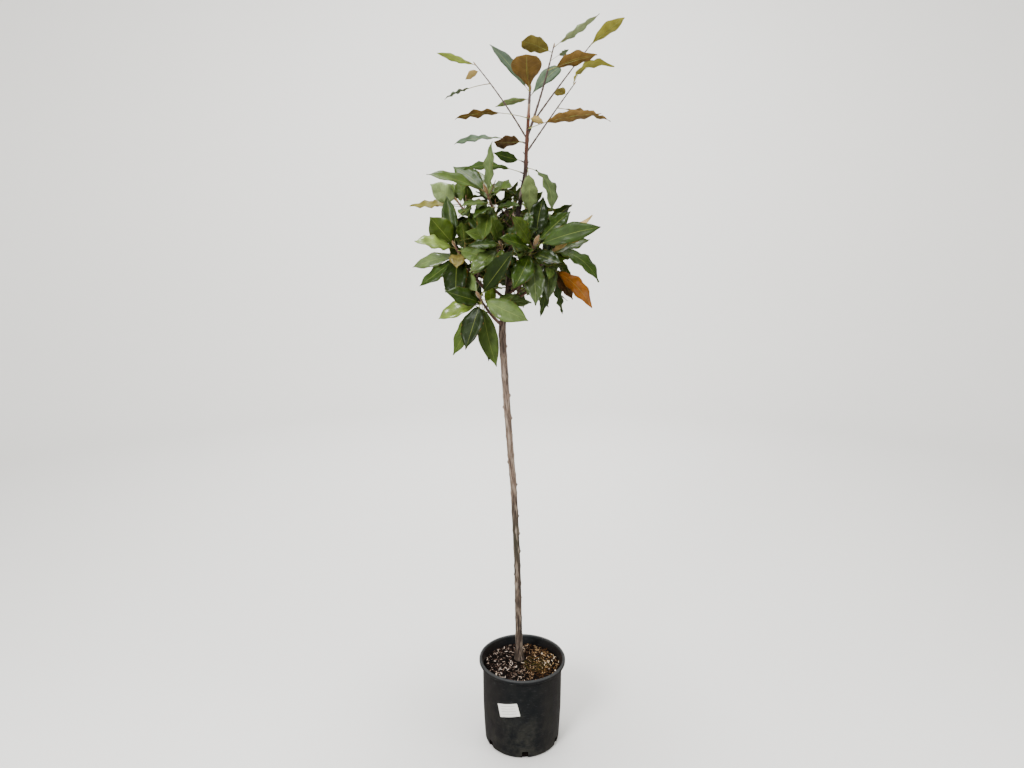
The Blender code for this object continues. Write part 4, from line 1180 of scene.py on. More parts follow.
def noded(line, thick, thin, nodes, seed):
    """A strand with a slight swelling at each old leaf's place, a little unevenly spaced."""
    rng = random.Random(seed)
    spacing, swelling = nodes
    length = line_length(line)
    places = []
    place = spacing
    while place < length:
        places.append(place)
        place += spacing * rng.uniform(*NODE_UNEVENNESS)
    count = len(line) - 1
    radii = []
    for i in range(count + 1):
        along = length * i / count
        knots = sum(math.exp(-(((along - p) / (NODE_WIDTH * spacing)) ** 2)) for p in places)
        radii.append((thick + (thin - thick) * i / count) * (1 + swelling * min(knots, NODE_MOST)))
    return line, radii


# %% [markdown]
# ## The trunk
# Young magnolia bark is smooth grey-brown, with shallow lengthwise ripples, a crossways ridge
# at every old leaf scar and a few knobs where side shoots were taken off. The line and the
# taper are the solid's. The relief moves each vertex along its normal by a noise that is
# stretched along the stem.

# %% Trunk mesh with bark relief
BARK_RINGS = 700
BARK_RESOLUTION = 10
RIPPLE_DEPTH = 0.75 * MM
PIT_DEPTH = 0.45 * MM
RIPPLES_ACROSS = 190
RIPPLES_ALONG = 22
PIT_SCALE = 420
FULL_RELIEF_RADIUS = 0.014
LEAST_RELIEF = 0.35
KNOBS = ((0.478, 330), (0.560, 215), (0.640, 350), (0.700, 5), (0.760, 352), (0.865, 0))
KNOBS += ((0.940, 200), (1.000, 300), (1.079, 355), (1.113, 185), (1.150, 350), (1.215, 250))
KNOBS += ((1.300, 340),)
KNOB_RADIUS = 0.0065
KNOB_DEPTH = 3.8 * MM
KNOB_STEEPNESS = 2.2
KNOB_REACH = 2.0  # in knob radii

bark_line = smooth_line(TRUNK_LINE, BARK_RINGS)
bark_radii = [trunk_radius(point.z) for point in bark_line]
bark = strands_piece("bark_trunk", [(bark_line, bark_radii)], BARK_RESOLUTION)
knobs = []
for knob_height, bearing in KNOBS:
    centre, _ = point_at(bark_line, share_at_height(bark_line, knob_height))
    knobs.append(centre + direction(bearing, 0) * trunk_radius(knob_height))
line_x, line_y, line_z = np.array(bark_line).T
stem_places = np.array([vert.co for vert in bark.data.vertices])
stem_places[:, 0] -= np.interp(stem_places[:, 2], line_z, line_x)
stem_places[:, 1] -= np.interp(stem_places[:, 2], line_z, line_y)
attribute = bark.data.attributes.new("stem_place", "FLOAT_VECTOR", "POINT")
attribute.data.foreach_set("vector", stem_places.ravel())
moves = []
for vert, (x, y, z) in zip(bark.data.vertices, stem_places):
    spot = vert.co
    ripple = noise.noise(Vector((x * RIPPLES_ACROSS, y * RIPPLES_ACROSS, z * RIPPLES_ALONG)))
    pits = noise.noise(spot * PIT_SCALE)
    move = RIPPLE_DEPTH * ripple - PIT_DEPTH * max(0.0, pits)
    for knob in knobs:
        near = (spot - knob).length / KNOB_RADIUS
        if near < KNOB_REACH:
            move += KNOB_DEPTH * math.exp(-(near**2) * KNOB_STEEPNESS)
    moves.append(move * min(1.0, LEAST_RELIEF + trunk_radius(spot.z) / FULL_RELIEF_RADIUS))
normals = [vert.normal.copy() for vert in bark.data.vertices]
for vert, normal, move in zip(bark.data.vertices, normals, moves):
    vert.co += normal * move
    vert.co.z = max(vert.co.z, MIX_HEIGHT + GAP)

# %% [markdown]
# ## Bark
# Bark changes up the stem: grey-brown and weathered at the foot, and painted darker there as
# shade, with a greenish band of algae where it stays damp, dark brown in the head, and
# red-brown where last year's growth starts.
# A ramp over height gives these, and a noise stretched along the stem gives the streaks.

# %% Bark material
# The stops from the foot up to about 0.76 m are dark partly for weathered bark and algae and partly
# as painted shade on the lower trunk.
BARK_AND_FOOT_SHADE_BY_HEIGHT = (
    (0.02, "#43362c"),
    (0.20, "#4d3e33"),
    (0.26, "#3c3726"),
    (0.31, "#44382c"),
    (0.38, "#6d5a4d"),
    (0.60, "#7a675b"),
    (0.66, "#5a463a"),
    (0.76, "#3a2a24"),
    (0.88, "#2d1f1b"),
    (0.93, "#5c3322"),
    (1.00, "#744028"),
)
bark_skin = Surface("magnolia_bark", IOR=1.45, Roughness=0.82)
place = bark_skin.place()
up_stem = bark_skin.mapped(bark_skin.parts(place)["Z"], 0.2, 2.0)
bark_and_foot_shade = bark_skin.ramp(up_stem, BARK_AND_FOOT_SHADE_BY_HEIGHT)
stem_place = bark_skin.carried("stem_place", "Vector")
streaks = bark_skin.noise(bark_skin.stretched(stem_place, 300.0, 300.0, 22.0), 1.0, 5.0, 0.65)
streak_mask = bark_skin.mapped(streaks, 0.46, 0.58, 0.0, 0.95)
dark_tone = bark_skin.mix(0.82, bark_and_foot_shade, "#1a120e")
streaked = bark_skin.mix(streak_mask, bark_and_foot_shade, dark_tone)
blotches = bark_skin.noise(bark_skin.stretched(stem_place, 120.0, 120.0, 18.0), 1.0, 4.0)
pale_mask = bark_skin.mapped(blotches, 0.50, 0.66, 0.0, 0.45)
bark_skin.shade(Base_Color=bark_skin.mix(pale_mask, streaked, "#b3a190"))
fine = bark_skin.noise(place, 700.0, 3.0)
bark_skin.bump(bark_skin.math("ADD", streaks, fine), 0.9, 0.0010)
finish_piece(bark, [bark_skin], ["trunk"], smooth_angle=70)

# %% [markdown]
# ## Boughs, shoots and twigs
# Each bough runs on as the stem of its spray, so it is one strand from the trunk to the bud.
# Young wood is red-brown and smooth with a ring at each leaf scar. The long shoots above the
# head are thinner and darker. Three short stubs on the leader are what is left of lost shoots.

# %% Bough and shoot meshes
BOUGH_POINTS = 70
TWIG_POINTS = 24
SPUR_POINTS = 12
SHOOTS = ("tall_shoot", "right_shoot", "low_shoot", "left_shoot")
SHOOT_NODES = (0.022, 0.22)  # the spacing in metres and how much the wood swells there
BOUGH_NODES = (0.013, 0.13)
TWIG_NODES = (0.010, 0.12)
FINE_NODES = (0.008, 0.12)
STUBS = ((1.846, 215, 48, 0.016), (1.774, 200, 30, 0.015), (1.826, 330, 25, 0.012))
STUB_RADII = (0.0022, 0.0013)
STUB_POINTS = 8
WOOD_RESOLUTION = 4

bough_strands = []
shoot_strands = []
for order, (name, limb) in enumerate(LIMBS.items()):
    line = smooth_line(lines[name], BOUGH_POINTS)
    nodes = SHOOT_NODES if name in SHOOTS else BOUGH_NODES
    strands = shoot_strands if name in SHOOTS else bough_strands
    strands.append(noded(line, limb.thick, limb.thin * STEM_TAPER, nodes, order))
for name, twigs in side_stems.items():
    for twig in twigs:
        line = smooth_line(twig, TWIG_POINTS)
        bough_strands.append(noded(line, TWIG_RADIUS, TWIG_RADIUS * STEM_TAPER, TWIG_NODES, name))
for order, twig in enumerate(fine_twigs):
    bough_strands.append(noded(twig, FINE_RADIUS, FINE_RADIUS * STEM_TAPER, FINE_NODES, order))
for name in (*SPURS, "top_tuft"):
    line, radius = stems[name]
    line = smooth_line(line, SPUR_POINTS)
    shoot_strands.append(noded(line, radius, radius * STEM_TAPER, FINE_NODES, name))
for height, bearing, rise, reach in STUBS:
    start, _ = point_at(lines["trunk"], share_at_height(lines["trunk"], height))
    stub = smooth_line((start, start + direction(bearing, rise) * reach), STUB_POINTS)
    shoot_strands.append((stub, tapered(*STUB_RADII, STUB_POINTS)))
boughs = strands_piece("bough_wood", bough_strands, WOOD_RESOLUTION)
shoots = strands_piece("shoot_wood", shoot_strands, WOOD_RESOLUTION)


# %% Young wood material
def young_wood(name, light, dark, tip):
    """Smooth young bark: two tones in soft clouds, and redder towards the top."""
    wood = Surface(name, IOR=1.45, Roughness=0.55)
    place = wood.place()
    clouds = wood.noise(place, 95.0, 5.0, 0.6)
    tones = wood.mix(wood.mapped(clouds, 0.35, 0.65), dark, light)
    redder = wood.mapped(wood.parts(place)["Z"], 1.40, 2.10, 0.0, 0.7)
    wood.shade(Base_Color=wood.mix(redder, tones, tip))
    wood.bump(clouds, 0.5, 0.0004)
    return wood


bough_nodes = [name + "_bough" for name in LIMBS if name not in SHOOTS]
bough_bark = young_wood("red_brown_young_bark", "#664637", "#3b2a22", "#5e4233")
shoot_bark = young_wood("dark_shoot_bark", "#4c3d37", "#2b2321", "#4d3a33")
finish_piece(boughs, [bough_bark], bough_nodes, smooth_angle=60)
finish_piece(shoots, [shoot_bark], SHOOTS, smooth_angle=60)

# %% [markdown]
# ## Leaf shape
# A magnolia leaf is a stiff leathery blade on a short stalk. It folds a little along its
# midrib, its margin waves, its tip is drawn out and it hangs under its own weight. A grid of
# points along and across the blade takes all of that from a few numbers, and a Solidify
# modifier then gives the sheet its thickness and its felted underside.

# %% Leaf colours
COLOURS = {
    "night": "#172305",
    "deep": "#26360d",
    "shine": "#3b4a20",
    "moss": "#35440d",
    "mid": "#3b4b1b",
    "fresh": "#60732a",
    "gloss": "#4a5c28",
    "grey": "#4f5d38",
    "silver": "#4c5942",
    "slate": "#3a4835",
    "steel": "#2c3828",
    "sage": "#5f6c41",
    "pale": "#69794a",
    "mist": "#7c8862",
    "olive": "#655b29",
    "gold": "#6f6b2a",
    "lime": "#65722e",
    "felt": "#5b4829",
    "rust": "#594420",
    "brown": "#68502a",
    "umber": "#4c371e",
    "tan": "#a28a55",
    "straw": "#5a5520",
    "orange": "#7d4a10",
}
SPRAY_COLOURS = {
    "front_left": "night gloss mid night mid fresh deep night gloss",
    "left": "moss deep fresh gloss night olive/rust gloss deep",
    "upper_left": "pale mid straw/tan mid tan/tan mid",
    "upper_front": "mid deep grey mid mid mid mid gloss",
    "front_right": "night deep deep moss deep deep shine night",
    "right": "deep deep shine mid night tan/tan",
    "low_right": "umber/umber orange/orange deep deep mid",
    "front_middle": "mid mid deep gloss deep mid deep",
    "top_tuft": "sage/silver steel/steel rust/rust slate/silver",
    "crossing_leaves": "rust/rust tan/tan",
    "low_front_leaf": "brown/brown",
    "upper_left_leaves": "slate/umber umber/umber",
    "middle_left_leaf": "deep/mid",
    "lower_left_leaf": "deep/slate",
    "hanging_leaves": "grey/silver sage/silver",
    "tall_shoot": "mist/mist olive/olive silver/silver rust/rust",
    "right_shoot": "gold/gold",
    "low_shoot": "gold/olive olive/olive brown/brown",
    "left_shoot": "lime/lime tan/tan silver/silver",
}
# Half of these are the deep and moss greens, partly the leaves' own tone and partly painted shade
# for leaves at the back and inside the head.
RULE_COLOURS = ("deep", "mid", "moss", "gloss", "mid/umber", "deep")
GLOSSY = ("gloss", "fresh", "shine", "pale")
GLOSSY_SLOT = 2


def leaf_colours(name, row):
    """The names of the colours of a leaf's upper face and of its underside."""
    words = SPRAY_COLOURS[name].split() if name in SPRAY_COLOURS else RULE_COLOURS
    upper, _, under = words[row % len(words)].partition("/")
    return upper, under or "felt"


# %% Blade sizes
BLADE_STEPS = 14
HALF_STEPS = 2
POINTED_TIP = 0.085
BLUNT_TIP = 0.012
BLUNT_LEAVES = {  # the outline's powers below and above where it is widest
    ("tall_shoot", 1): (0.60, 0.42),
    ("top_tuft", 2): (1.15, 0.55),
    ("top_tuft", 3): (1.15, 0.60),
}
BANDS = {("crossing_leaves", 0), ("upper_left_leaves", 0), ("low_front_leaf", 0), ("left_shoot", 2)}
BAND_SWAY = 0.55
WAVE_MM = {
    "low_front_leaf": 5.5,
    "crossing_leaves": 5.0,
    "upper_left_leaves": 3.5,
    "left_shoot": 3.0,
    "top_tuft": 2.0,
    "low_right": 5.0,
}
ROLLS = {("low_front_leaf", 0): 8.0}
WAVE_COUNTS = (2.5, 4.1)
WAVE_SHARES = (0.6, 1.25)
FOLD_SHARES = (0.4, 1.2)
TWIST_DEGREES = 14
TWIST_PIVOT = 0.3
SWAY_SHARE = 0.03
FULL_LENGTH_MM = 120
MARGIN_DROOP = 0.10
SHADES = (0.82, 1.18)


# %% Leaf blades
def outline_width(share, fullest, powers):
    """The true outline: drawn out to a point, or round-ended where a leaf has its own powers."""
    width = blade_width(share, fullest)
    if powers:
        return width ** powers[share > fullest] * (1 - math.exp(-(1 - share) / BLUNT_TIP))
    return width * (1 - math.exp(-(1 - share) / POINTED_TIP))


def blade_grid(leaf, root, facing, wave_mm, fold_degrees, key, rng):
    """The points of a blade, row by row from its base to its tip, with their UV places."""
    waves = rng.uniform(*WAVE_COUNTS)
    phases = (rng.uniform(0, math.tau), rng.uniform(0, math.tau))
    wave = wave_mm * MM * rng.uniform(*WAVE_SHARES) * min(1.0, leaf.length / FULL_LENGTH_MM)
    fold = math.radians(fold_degrees * rng.uniform(*FOLD_SHARES))
    twist = math.radians(rng.uniform(-TWIST_DEGREES, TWIST_DEGREES))
    sway = rng.uniform(-SWAY_SHARE, SWAY_SHARE) * leaf.length * MM
    band = BAND_SWAY if key in BANDS else 0.0
    roll = math.radians(ROLLS.get(key, 0.0))
    if band:
        phases = (phases[0], phases[0])
    points, places = [], []
    for i in range(BLADE_STEPS + 1):
        share = i / BLADE_STEPS
        at = leaf.stalk + (1 - leaf.stalk) * share
        centre, _, side, normal = midrib(leaf, root, facing, at)
        outline = outline_width(share, leaf.fullest, BLUNT_LEAVES.get(key))
        half = max(0.5 * MM, leaf.width * MM / 2 * outline)
        turn = roll * min(1.0, share * 4) + twist * (share - TWIST_PIVOT)
        side, normal = (
            side * math.cos(turn) + normal * math.sin(turn),
            normal * math.cos(turn) - side * math.sin(turn),
        )
        centre = centre + side * sway * math.sin(math.pi * share)
        for j in range(-HALF_STEPS, HALF_STEPS + 1):
            out = j / HALF_STEPS
            spread = abs(out)
            phase = phases[0] if out < 0 else phases[1]
            ripple = wave * (band + (1 - band) * spread**1.5)
            ripple *= math.sin(math.tau * waves * share + phase)
            ripple *= math.sin(math.pi * min(1.0, share * 1.1)) ** 0.5 if share < 0.9 else 0.6
            lift = half * spread * math.sin(fold) - half * MARGIN_DROOP * spread**2
            points.append(centre + side * half * out * math.cos(fold) + normal * (lift + ripple))
            places.append((share, 0.5 + out / 2))
    return points, places


# %% Many blades in one mesh
def leaves_piece(name, chosen, wave_mm, fold_degrees, thickness_mm):
    """One mesh of many leaf blades, each with its two colours and its UV map."""
    rng = random.Random(name)
    across = 2 * HALF_STEPS + 1
    points, faces, places, uppers, unders, slots = [], [], [], [], [], []
    for spray, row, leaf, root, facing in chosen:
        wave = WAVE_MM.get(spray, wave_mm)
        grid, grid_places = blade_grid(leaf, root, facing, wave, fold_degrees, (spray, row), rng)
        upper, under = leaf_colours(spray, row)
        slots += [GLOSSY_SLOT if upper in GLOSSY else 0] * (BLADE_STEPS * (across - 1))
        shade = rng.uniform(*SHADES)
        upper = [v * shade for v in linear(COLOURS[upper])[:3]] + [rng.random()]
        under = [v * shade for v in linear(COLOURS[under])[:3]] + [rng.random()]
        first = len(points)
        for i in range(BLADE_STEPS):
            for j in range(across - 1):
                k = first + i * across + j
                faces.append((k, k + 1, k + across + 1, k + across))
        points += grid
        places += grid_places
        uppers += [upper] * len(grid)
        unders += [under] * len(grid)
    piece = mesh_piece(name, points, faces)
    mesh = piece.data
    uv = mesh.uv_layers.new(name="blade")
    for loop in mesh.loops:
        uv.data[loop.index].uv = places[loop.vertex_index]
    for attribute_name, values in (("upper_colour", uppers), ("under_colour", unders)):
        attribute = mesh.attributes.new(attribute_name, "FLOAT_COLOR", "POINT")
        attribute.data.foreach_set("color", np.array(values, np.float32).ravel())
    mesh.polygons.foreach_set("material_index", slots)
    mesh.shade_smooth()
    thick = {"thickness": thickness_mm * MM, "offset": -1.0}
    apply_modifier(piece, "SOLIDIFY", **thick, material_offset=1, material_offset_rim=1)
    return piece


# %% [markdown]
# ## Leaf surfaces
# The upper face is waxy: a dark green under a clear coat, with a pale midrib, fine side veins
# that run out to the margin and a brown edge here and there. The underside is felted with
# rust-brown hairs, so it is dull and soft. Both read the leaf's own UV map, in which one
# direction runs from base to tip and the other from margin to margin.


# %% Leaf materials
def vein_masks(leaf):
    """The midrib's and the side veins' masks, and how far out from the midrib a point lies."""
    along, across, _ = leaf.parts(leaf.node("UVMap", {}, uv_map="blade"))
    off = leaf.math("ABSOLUTE", leaf.math("SUBTRACT", across, 0.5))
    rib = leaf.mapped(off, 0.018, 0.006)
    slant = leaf.math("ADD", leaf.math("MULTIPLY", off, -0.42), along)
    wave = leaf.math("PINGPONG", leaf.math("MULTIPLY", slant, 11.0), 1.0)
    return rib, leaf.mapped(wave, 0.14, 0.03), off


def leaf_upper(name, roughness, level, coat, unevenness):
    """The waxy upper face, glossier on one leaf than on the next."""
    wax = Surface(name, IOR=1.45, Specular_IOR_Level=level)
    wax.shade(Coat_Weight=coat, Coat_Roughness=0.14, Coat_IOR=1.5)
    rib, vein, off = vein_masks(wax)
    place = wax.place()
    colour = wax.carried("upper_colour", "Color")
    clouds = wax.noise(place, 45.0, 5.0)
    toned = wax.bright(wax.mapped(clouds, 0.3, 0.7, 0.72, 1.30), colour)
    veined = wax.mix(wax.math("MULTIPLY", vein, 0.4), toned, wax.bright(1.6, toned))
    ribbed = wax.mix(wax.math("MULTIPLY", rib, 0.36), veined, "#8c9646")
    near_margin = wax.mapped(off, 0.44, 0.50, 0.0, 0.22)
    worn = wax.math("ADD", wax.noise(place, 120.0, 4.0), near_margin)
    brown_tinted = wax.mix(wax.mapped(worn, 0.70, 0.80, 0.0, 0.75), ribbed, "#6a4a1f")
    dull = wax.math("MULTIPLY_ADD", clouds, 0.2, roughness)
    dull = wax.math("MULTIPLY_ADD", colour.node.outputs["Alpha"], 0.3, dull)
    wax.shade(Base_Color=brown_tinted, Roughness=dull)
    sunk = wax.math("MULTIPLY", wax.math("ADD", vein, rib), -0.5)
    wax.bump(wax.math("ADD", sunk, clouds), 0.55, unevenness * MM)
    return wax


def leaf_under(name):
    """The felted underside."""
    felt = Surface(name, IOR=1.4, Roughness=0.78, Specular_IOR_Level=0.25, Sheen_Weight=0.06)
    rib, vein, _ = vein_masks(felt)
    hairs = felt.noise(felt.place(), 160.0, 6.0, 0.7)
    colour = felt.carried("under_colour", "Color")
    toned = felt.bright(felt.mapped(hairs, 0.3, 0.7, 0.70, 1.30), colour)
    raised = felt.math("MULTIPLY", felt.math("MAXIMUM", rib, vein), 0.22)
    felt.shade(Base_Color=felt.mix(raised, toned, "#8a7440"))
    felt.bump(felt.math("ADD", raised, hairs), 0.5, 0.0008)
    return felt


# %% Leaves of the head and of the young shoots
YOUNG = (*SPURS, *SHOOTS, "top_tuft")
old_rows = [row for row in grown + inner if row[0] not in YOUNG]
young_rows = [row for row in grown if row[0] in YOUNG]
head = leaves_piece("head_leaves", old_rows, wave_mm=4.0, fold_degrees=22.0, thickness_mm=0.8)
young = leaves_piece(
    "young_leaves", young_rows, wave_mm=4.6, fold_degrees=18.0, thickness_mm=0.7
)
felt = leaf_under("felted_underside")
waxy = leaf_upper("waxy_leaf", 0.20, 0.15, 0.06, 1.2)
glossy = leaf_upper("glossy_leaf", 0.19, 0.40, 0.40, 1.8)
soft = leaf_upper("young_leaf", 0.36, 0.10, 0.0, 1.0)
head_nodes = [name + "_spray" for name in stems if name not in YOUNG]
young_nodes = [name + "_spray" if name in SHOOTS else name for name in YOUNG]
finish_piece(head, [waxy, felt, glossy, felt], head_nodes)
finish_piece(young, [soft, felt], young_nodes)

# %% [markdown]
# ## Stalks, midribs and buds
# The stalk runs on under the blade as a raised midrib that thins out towards the tip. Both
# are one strand per leaf. At the end of every stem but the short spurs sits a furry pointed
# bud: a sphere drawn out to a point and scaled to the stem. All buds are joined into one mesh.

# %% Leaf stalks
STALK_STATIONS = ((0.0, 1.5), (0.3, 1.25), (0.7, 1.05), (1.0, 1.0))  # share, radius in mm
RIB_STATIONS = ((0.05, 0.90), (0.25, 0.60), (0.55, 0.38), (0.9, 0.18))
STALK_SUNK_MM = 0.3
RIB_SUNK_MM = 0.9
stalk_strands = []
for _, _, leaf, root, facing in grown + inner:
    points, radii = [], []
    stations = [(leaf.stalk * share, mm, STALK_SUNK_MM) for share, mm in STALK_STATIONS]
    blade = 1 - leaf.stalk
    stations += [(leaf.stalk + blade * share, mm, RIB_SUNK_MM) for share, mm in RIB_STATIONS]
    for at, radius_mm, sunk_mm in stations:
        centre, _, _, normal = midrib(leaf, root, facing, at)
        sunk = sunk_mm * MM
        points.append(centre - normal * sunk)
        radii.append(radius_mm * MM * min(1.0, leaf.length / FULL_LENGTH_MM))
    stalk_strands.append((points, radii))
stalks = strands_piece("leaf_stalks", stalk_strands, 1)
stalk_skin = Surface("leaf_stalk_skin", IOR=1.45, Roughness=0.5)
clouds = stalk_skin.noise(stalk_skin.place(), 30.0, 3.0)
stalk_tones = ((0.32, "#5c3f22"), (0.48, "#69602d"), (0.62, "#7f8540"))
stalk_skin.shade(Base_Color=stalk_skin.ramp(clouds, stalk_tones))
finish_piece(stalks, [stalk_skin], smooth_angle=60)

# %% Buds
BUD_LENGTH = 0.019
BUD_RADIUS = 0.0036
BUD_STEM_RADIUS = 0.0034
BUD_LONG_RADIUS = 0.0036
BUD_SHORTEST = 0.6
BUD_SEAT = 0.7
BUD_POINT = 0.55
SWOLLEN = {"front_right": 1.7, "upper_front": 1.5, "front_left": 1.3}
bud_ends = []
for name, (line, radius) in stems.items():
    if name not in SPURS:
        bud_ends.append((point_at(line, 1.0), radius * SWOLLEN.get(name, 1.0)))
    bud_ends += [(point_at(twig, 1.0), TWIG_RADIUS) for twig in side_stems[name]]
bud_ends += [(point_at(twig, 1.0), FINE_RADIUS) for twig in fine_twigs]
bud_points, bud_faces = [], []
for (end, axis), radius in bud_ends:
    bpy.ops.mesh.primitive_uv_sphere_add(segments=10, ring_count=8, radius=1.0)
    one = bpy.context.object
    for vert in one.data.vertices:
        taper = 1.0 - BUD_POINT * max(0.0, vert.co.z) ** 1.5
        vert.co.x *= BUD_RADIUS * radius / BUD_STEM_RADIUS * taper
        vert.co.y *= BUD_RADIUS * radius / BUD_STEM_RADIUS * taper
        longer = max(BUD_SHORTEST, radius / BUD_LONG_RADIUS)
        vert.co.z = (vert.co.z + BUD_SEAT) * BUD_LENGTH * longer / (1 + BUD_SEAT)
    turn = axis.to_track_quat("Z", "Y").to_matrix()
    first = len(bud_points)
    bud_points += [end + turn @ vert.co for vert in one.data.vertices]
    bud_faces += [tuple(first + k for k in face.vertices) for face in one.data.polygons]
    bpy.data.objects.remove(one)
buds = mesh_piece("leaf_buds", bud_points, bud_faces)
bud_fur = Surface("furry_bud", Roughness=0.85, Sheen_Weight=0.4)
hairs = bud_fur.noise(bud_fur.place(), 400.0, 4.0)
fur_tones = ((0.3, "#4b3420"), (0.55, "#7a5c34"), (0.75, "#9b8148"))
bud_fur.shade(Base_Color=bud_fur.ramp(hairs, fur_tones))
bud_fur.bump(hairs, 0.6, 0.0005)
finish_piece(buds, [bud_fur], smooth_angle=60)

# %% [markdown]
# ## The potting mix
# The pot is filled to about three centimetres below its rim with a bark mix. Its top is a
# turned body whose surface is raised and lowered by noise, and what can be told apart by eye
# lies on it: shreds of bark, pale bits of pumice and a patch of moss on the right.

# %% Mix body
CLEARANCE = WALL_THICKNESS + GAP
MIX_STEPS = 26
MIX_SIDES = 96
MIX_DROP = 0.004
LEVEL_TOLERANCE = 0.002
mix_radius = wall_radius(MIX_HEIGHT) - CLEARANCE
mix_profile = [(0.0, FLOOR_THICKNESS + GAP), (FLOOR_FLAT_RADIUS - GAP, FLOOR_THICKNESS + GAP)]
mix_profile += arc(foot_centre, FOOT_ROUNDING - CLEARANCE, -60, 0, 3)
mix_profile += [(wall_radius(z) - CLEARANCE, z) for z in wall_heights[1:-1:2]]
mix_profile += [(mix_radius, MIX_HEIGHT - MIX_DROP)]
mix_profile += [(mix_radius * (1 - i / MIX_STEPS), MIX_HEIGHT) for i in range(MIX_STEPS)]
mix_profile += [(0.0, MIX_HEIGHT)]
mix = turned("mix_body", mix_profile, MIX_SIDES)
TRUNK_FOOT = Vector(TRUNK_LINE[0]).xy
LUMPS = ((28, 2.2), (75, 1.3), (210, 0.5))  # how close they lie, their height in mm
LEVEL_ROUND_TRUNK = 0.018
LEVEL_EDGE = 0.015
WALL_DIP_FROM = 0.105
WALL_DIP_WIDTH = 0.02
WALL_DIP_MM = 2.0
SUNK_MM = 0.4


def mix_surface(x, y):
    """The mix's height at a place: lumpy, but level round the trunk's foot."""
    spot = Vector((x, y, 0.0))
    lumps = sum(height * noise.noise(spot * scale) for scale, height in LUMPS)
    from_trunk = (spot.xy - TRUNK_FOOT).length
    calm = min(1.0, max(0.0, (from_trunk - LEVEL_ROUND_TRUNK) / LEVEL_EDGE))
    near_wall = min(1.0, max(0.0, (spot.length - WALL_DIP_FROM) / WALL_DIP_WIDTH))
    return MIX_HEIGHT + MM * (lumps * calm - WALL_DIP_MM * near_wall - SUNK_MM)


for vert in mix.data.vertices:
    if vert.co.z > MIX_HEIGHT - LEVEL_TOLERANCE:
        vert.co.z = mix_surface(vert.co.x, vert.co.y)

# %% Shreds, pumice and moss
Scatter = namedtuple("Scatter", "count length width thickness centre spread crowding tilt")
PIECES = {
    "bark_shreds": Scatter(
        1650, (0.006, 0.019), (0.0010, 0.0034), (0.0008, 0.0020), (0.0, 0.0), 0.122, 0.5, 0.6
    ),
    "pumice_bits": Scatter(
        34, (0.0022, 0.0048), (0.0020, 0.0042), (0.0016, 0.0034), (0.080, 0.015), 0.050, 0.6, 0.6
    ),
    "moss_patch": Scatter(
        950, (0.0030, 0.0080), (0.0006, 0.0016), (0.0006, 0.0014), (0.047, -0.002), 0.046, 0.6, 0.9
    ),
}
PUMICE_PLACES = (  # bearing in degrees, share of the mix's radius, size in metres
    (40, 0.70, 0.0085),
    (5, 0.70, 0.0090),
    (0, 0.60, 0.0060),
    (20, 0.90, 0.0065),
    (340, 0.90, 0.0060),
    (330, 0.90, 0.0055),
    (95, 0.85, 0.0060),
    (80, 0.85, 0.0055),
    (215, 0.80, 0.0065),
    (250, 0.85, 0.0110),
)
FLAKE_ROUND = ((1.0, 0.0), (0.5, 0.8), (-0.5, 0.8), (-1.0, 0.0), (-0.5, -0.8), (0.5, -0.8))
FLAKE = [(0.5 * x, 0.5 * y, 0.1) for x, y in FLAKE_ROUND]
FLAKE += [(0.36 * x, 0.36 * y, 1.0) for x, y in FLAKE_ROUND]
FLAKE_FACES = [tuple(reversed(range(6))), tuple(range(6, 12))]
FLAKE_FACES += [(k, (k + 1) % 6, 6 + (k + 1) % 6, 6 + k) for k in range(6)]
FLAKE_UNEVENNESS = 0.2
CURL = 0.35
STONE_SHAPE = (1.0, 0.8, 0.6)
TRUNK_CLEAR = 0.019


# %% Scattered flakes
def flake(rng, seat, size, tilt):
    """The corners of one flake: a six-sided chip, curled up at its ends and turned at random."""
    turn = Matrix.Rotation(rng.uniform(0, math.tau), 3, "Z")
    turn = turn @ Matrix.Rotation(rng.uniform(-tilt, tilt), 3, "Y")
    turn = turn @ Matrix.Rotation(rng.uniform(-tilt, tilt), 3, "X")
    corners = []
    for corner in FLAKE:
        uneven = [1 + rng.uniform(-FLAKE_UNEVENNESS, FLAKE_UNEVENNESS) for _ in corner]
        x, y, z = (c * share * s for c, share, s in zip(corner, uneven, size))
        corners.append(seat + turn @ Vector((x, y, z + CURL * x * x / size.x)))
    return corners


def scattered(name, kind, placed=()):
    """One mesh of many small flakes that lie on the mix."""
    rng = random.Random(name)
    corners, faces, tones = [], [], []
    spots = []
    for bearing, share, size in placed:
        away, turn = share * mix_radius, math.radians(bearing)
        shape = Vector([size * share for share in STONE_SHAPE])
        spots.append((away * math.cos(turn), away * math.sin(turn), shape))
    while len(spots) < kind.count + len(placed):
        bearing = rng.uniform(0, math.tau)
        away = kind.spread * rng.random() ** kind.crowding
        x = kind.centre[0] + away * math.cos(bearing)
        y = kind.centre[1] + away * math.sin(bearing)
        limits = (kind.length, kind.width, kind.thickness)
        size = Vector([rng.uniform(low, high) for low, high in limits])
        half = 0.5 * size.x
        from_trunk = (Vector((x, y)) - TRUNK_FOOT).length
        if math.hypot(x, y) < mix_radius - half - GAP and from_trunk > TRUNK_CLEAR + half:
            spots.append((x, y, size))
    for x, y, size in spots:
        first = len(corners)
        corners += flake(rng, Vector((x, y, mix_surface(x, y) - GAP)), size, kind.tilt)
        faces += [tuple(first + k for k in face) for face in FLAKE_FACES]
        tones += [rng.random()] * len(FLAKE)
    piece = mesh_piece(name, corners, faces)
    tone = piece.data.attributes.new("tone", "FLOAT", "POINT")
    tone.data.foreach_set("value", np.array(tones, np.float32))
    return piece


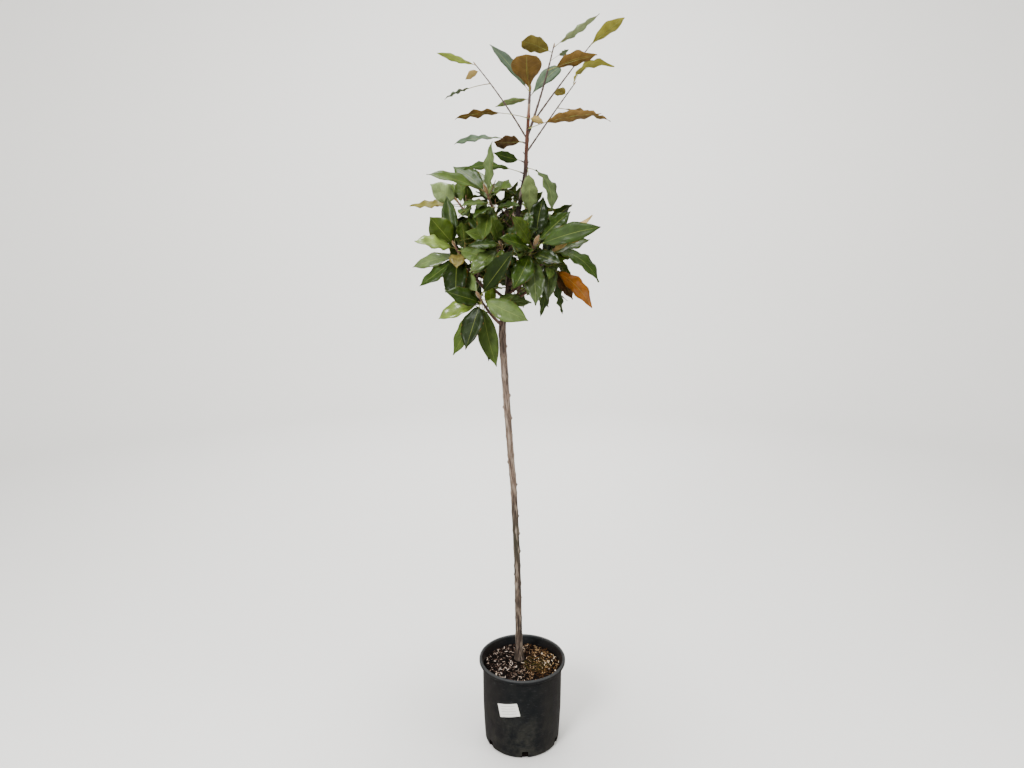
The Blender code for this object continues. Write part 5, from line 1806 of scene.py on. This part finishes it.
shreds = scattered("bark_shreds", PIECES["bark_shreds"])
pumice = scattered("pumice_bits", PIECES["pumice_bits"], PUMICE_PLACES)
moss = scattered("moss_patch", PIECES["moss_patch"])


# %% Mix materials
def crumbs(name, roughness, stops, right_stops, grain_scale, distance):
    """A dull crumbly finish: each crumb's tone is its own, from a warmer ramp on the right."""
    crumb = Surface(name, IOR=1.4, Roughness=roughness, Specular_IOR_Level=0.12)
    place = crumb.place()
    grain = crumb.noise(place, grain_scale, 5.0)
    tone = crumb.math("MULTIPLY", grain, 0.4)
    tone = crumb.math("MULTIPLY_ADD", crumb.carried("tone", "Fac"), 0.8, tone)
    side = crumb.mapped(crumb.parts(place)["X"], -0.02, 0.05)
    crumb.shade(Base_Color=crumb.mix(side, crumb.ramp(tone, stops), crumb.ramp(tone, right_stops)))
    crumb.bump(grain, 0.8, distance)
    return crumb


SHREDS_LEFT = ((0.30, "#060403"), (0.62, "#170e0a"), (0.84, "#422f26"))
SHREDS_LEFT += ((0.93, "#a48f80"), (1.0, "#e2d2c5"))
SHREDS_RIGHT = ((0.30, "#080503"), (0.55, "#24160d"), (0.78, "#5a3d22"))
SHREDS_RIGHT += ((0.90, "#8d6a42"), (1.0, "#c4a67c"))
PUMICE = ((0.2, "#b89c7c"), (0.9, "#ead9c3"))
MOSS = ((0.25, "#14100a"), (0.65, "#3a3217"), (0.95, "#6d6332"))
# The body of the mix shows only in the gaps between the crumbs. Its near-black is partly the damp
# fines and partly painted shade in those gaps.
GROUND_AND_GAP_SHADE = ((0.15, "#050302"), (0.40, "#120b08"))
fines = crumbs("damp_fines_and_gap_shade", 0.95, GROUND_AND_GAP_SHADE, GROUND_AND_GAP_SHADE, 260.0, 0.002)
finish_piece(mix, [fines], ["potting_mix"], smooth_angle=50)
for piece, crumb in (
    (shreds, crumbs("shredded_bark", 0.7, SHREDS_LEFT, SHREDS_RIGHT, 500.0, 0.0006)),
    (pumice, crumbs("pumice", 0.9, PUMICE, PUMICE, 900.0, 0.0004)),
    (moss, crumbs("dry_moss", 0.95, MOSS, MOSS, 900.0, 0.0005)),
):
    finish_piece(piece, [crumb])
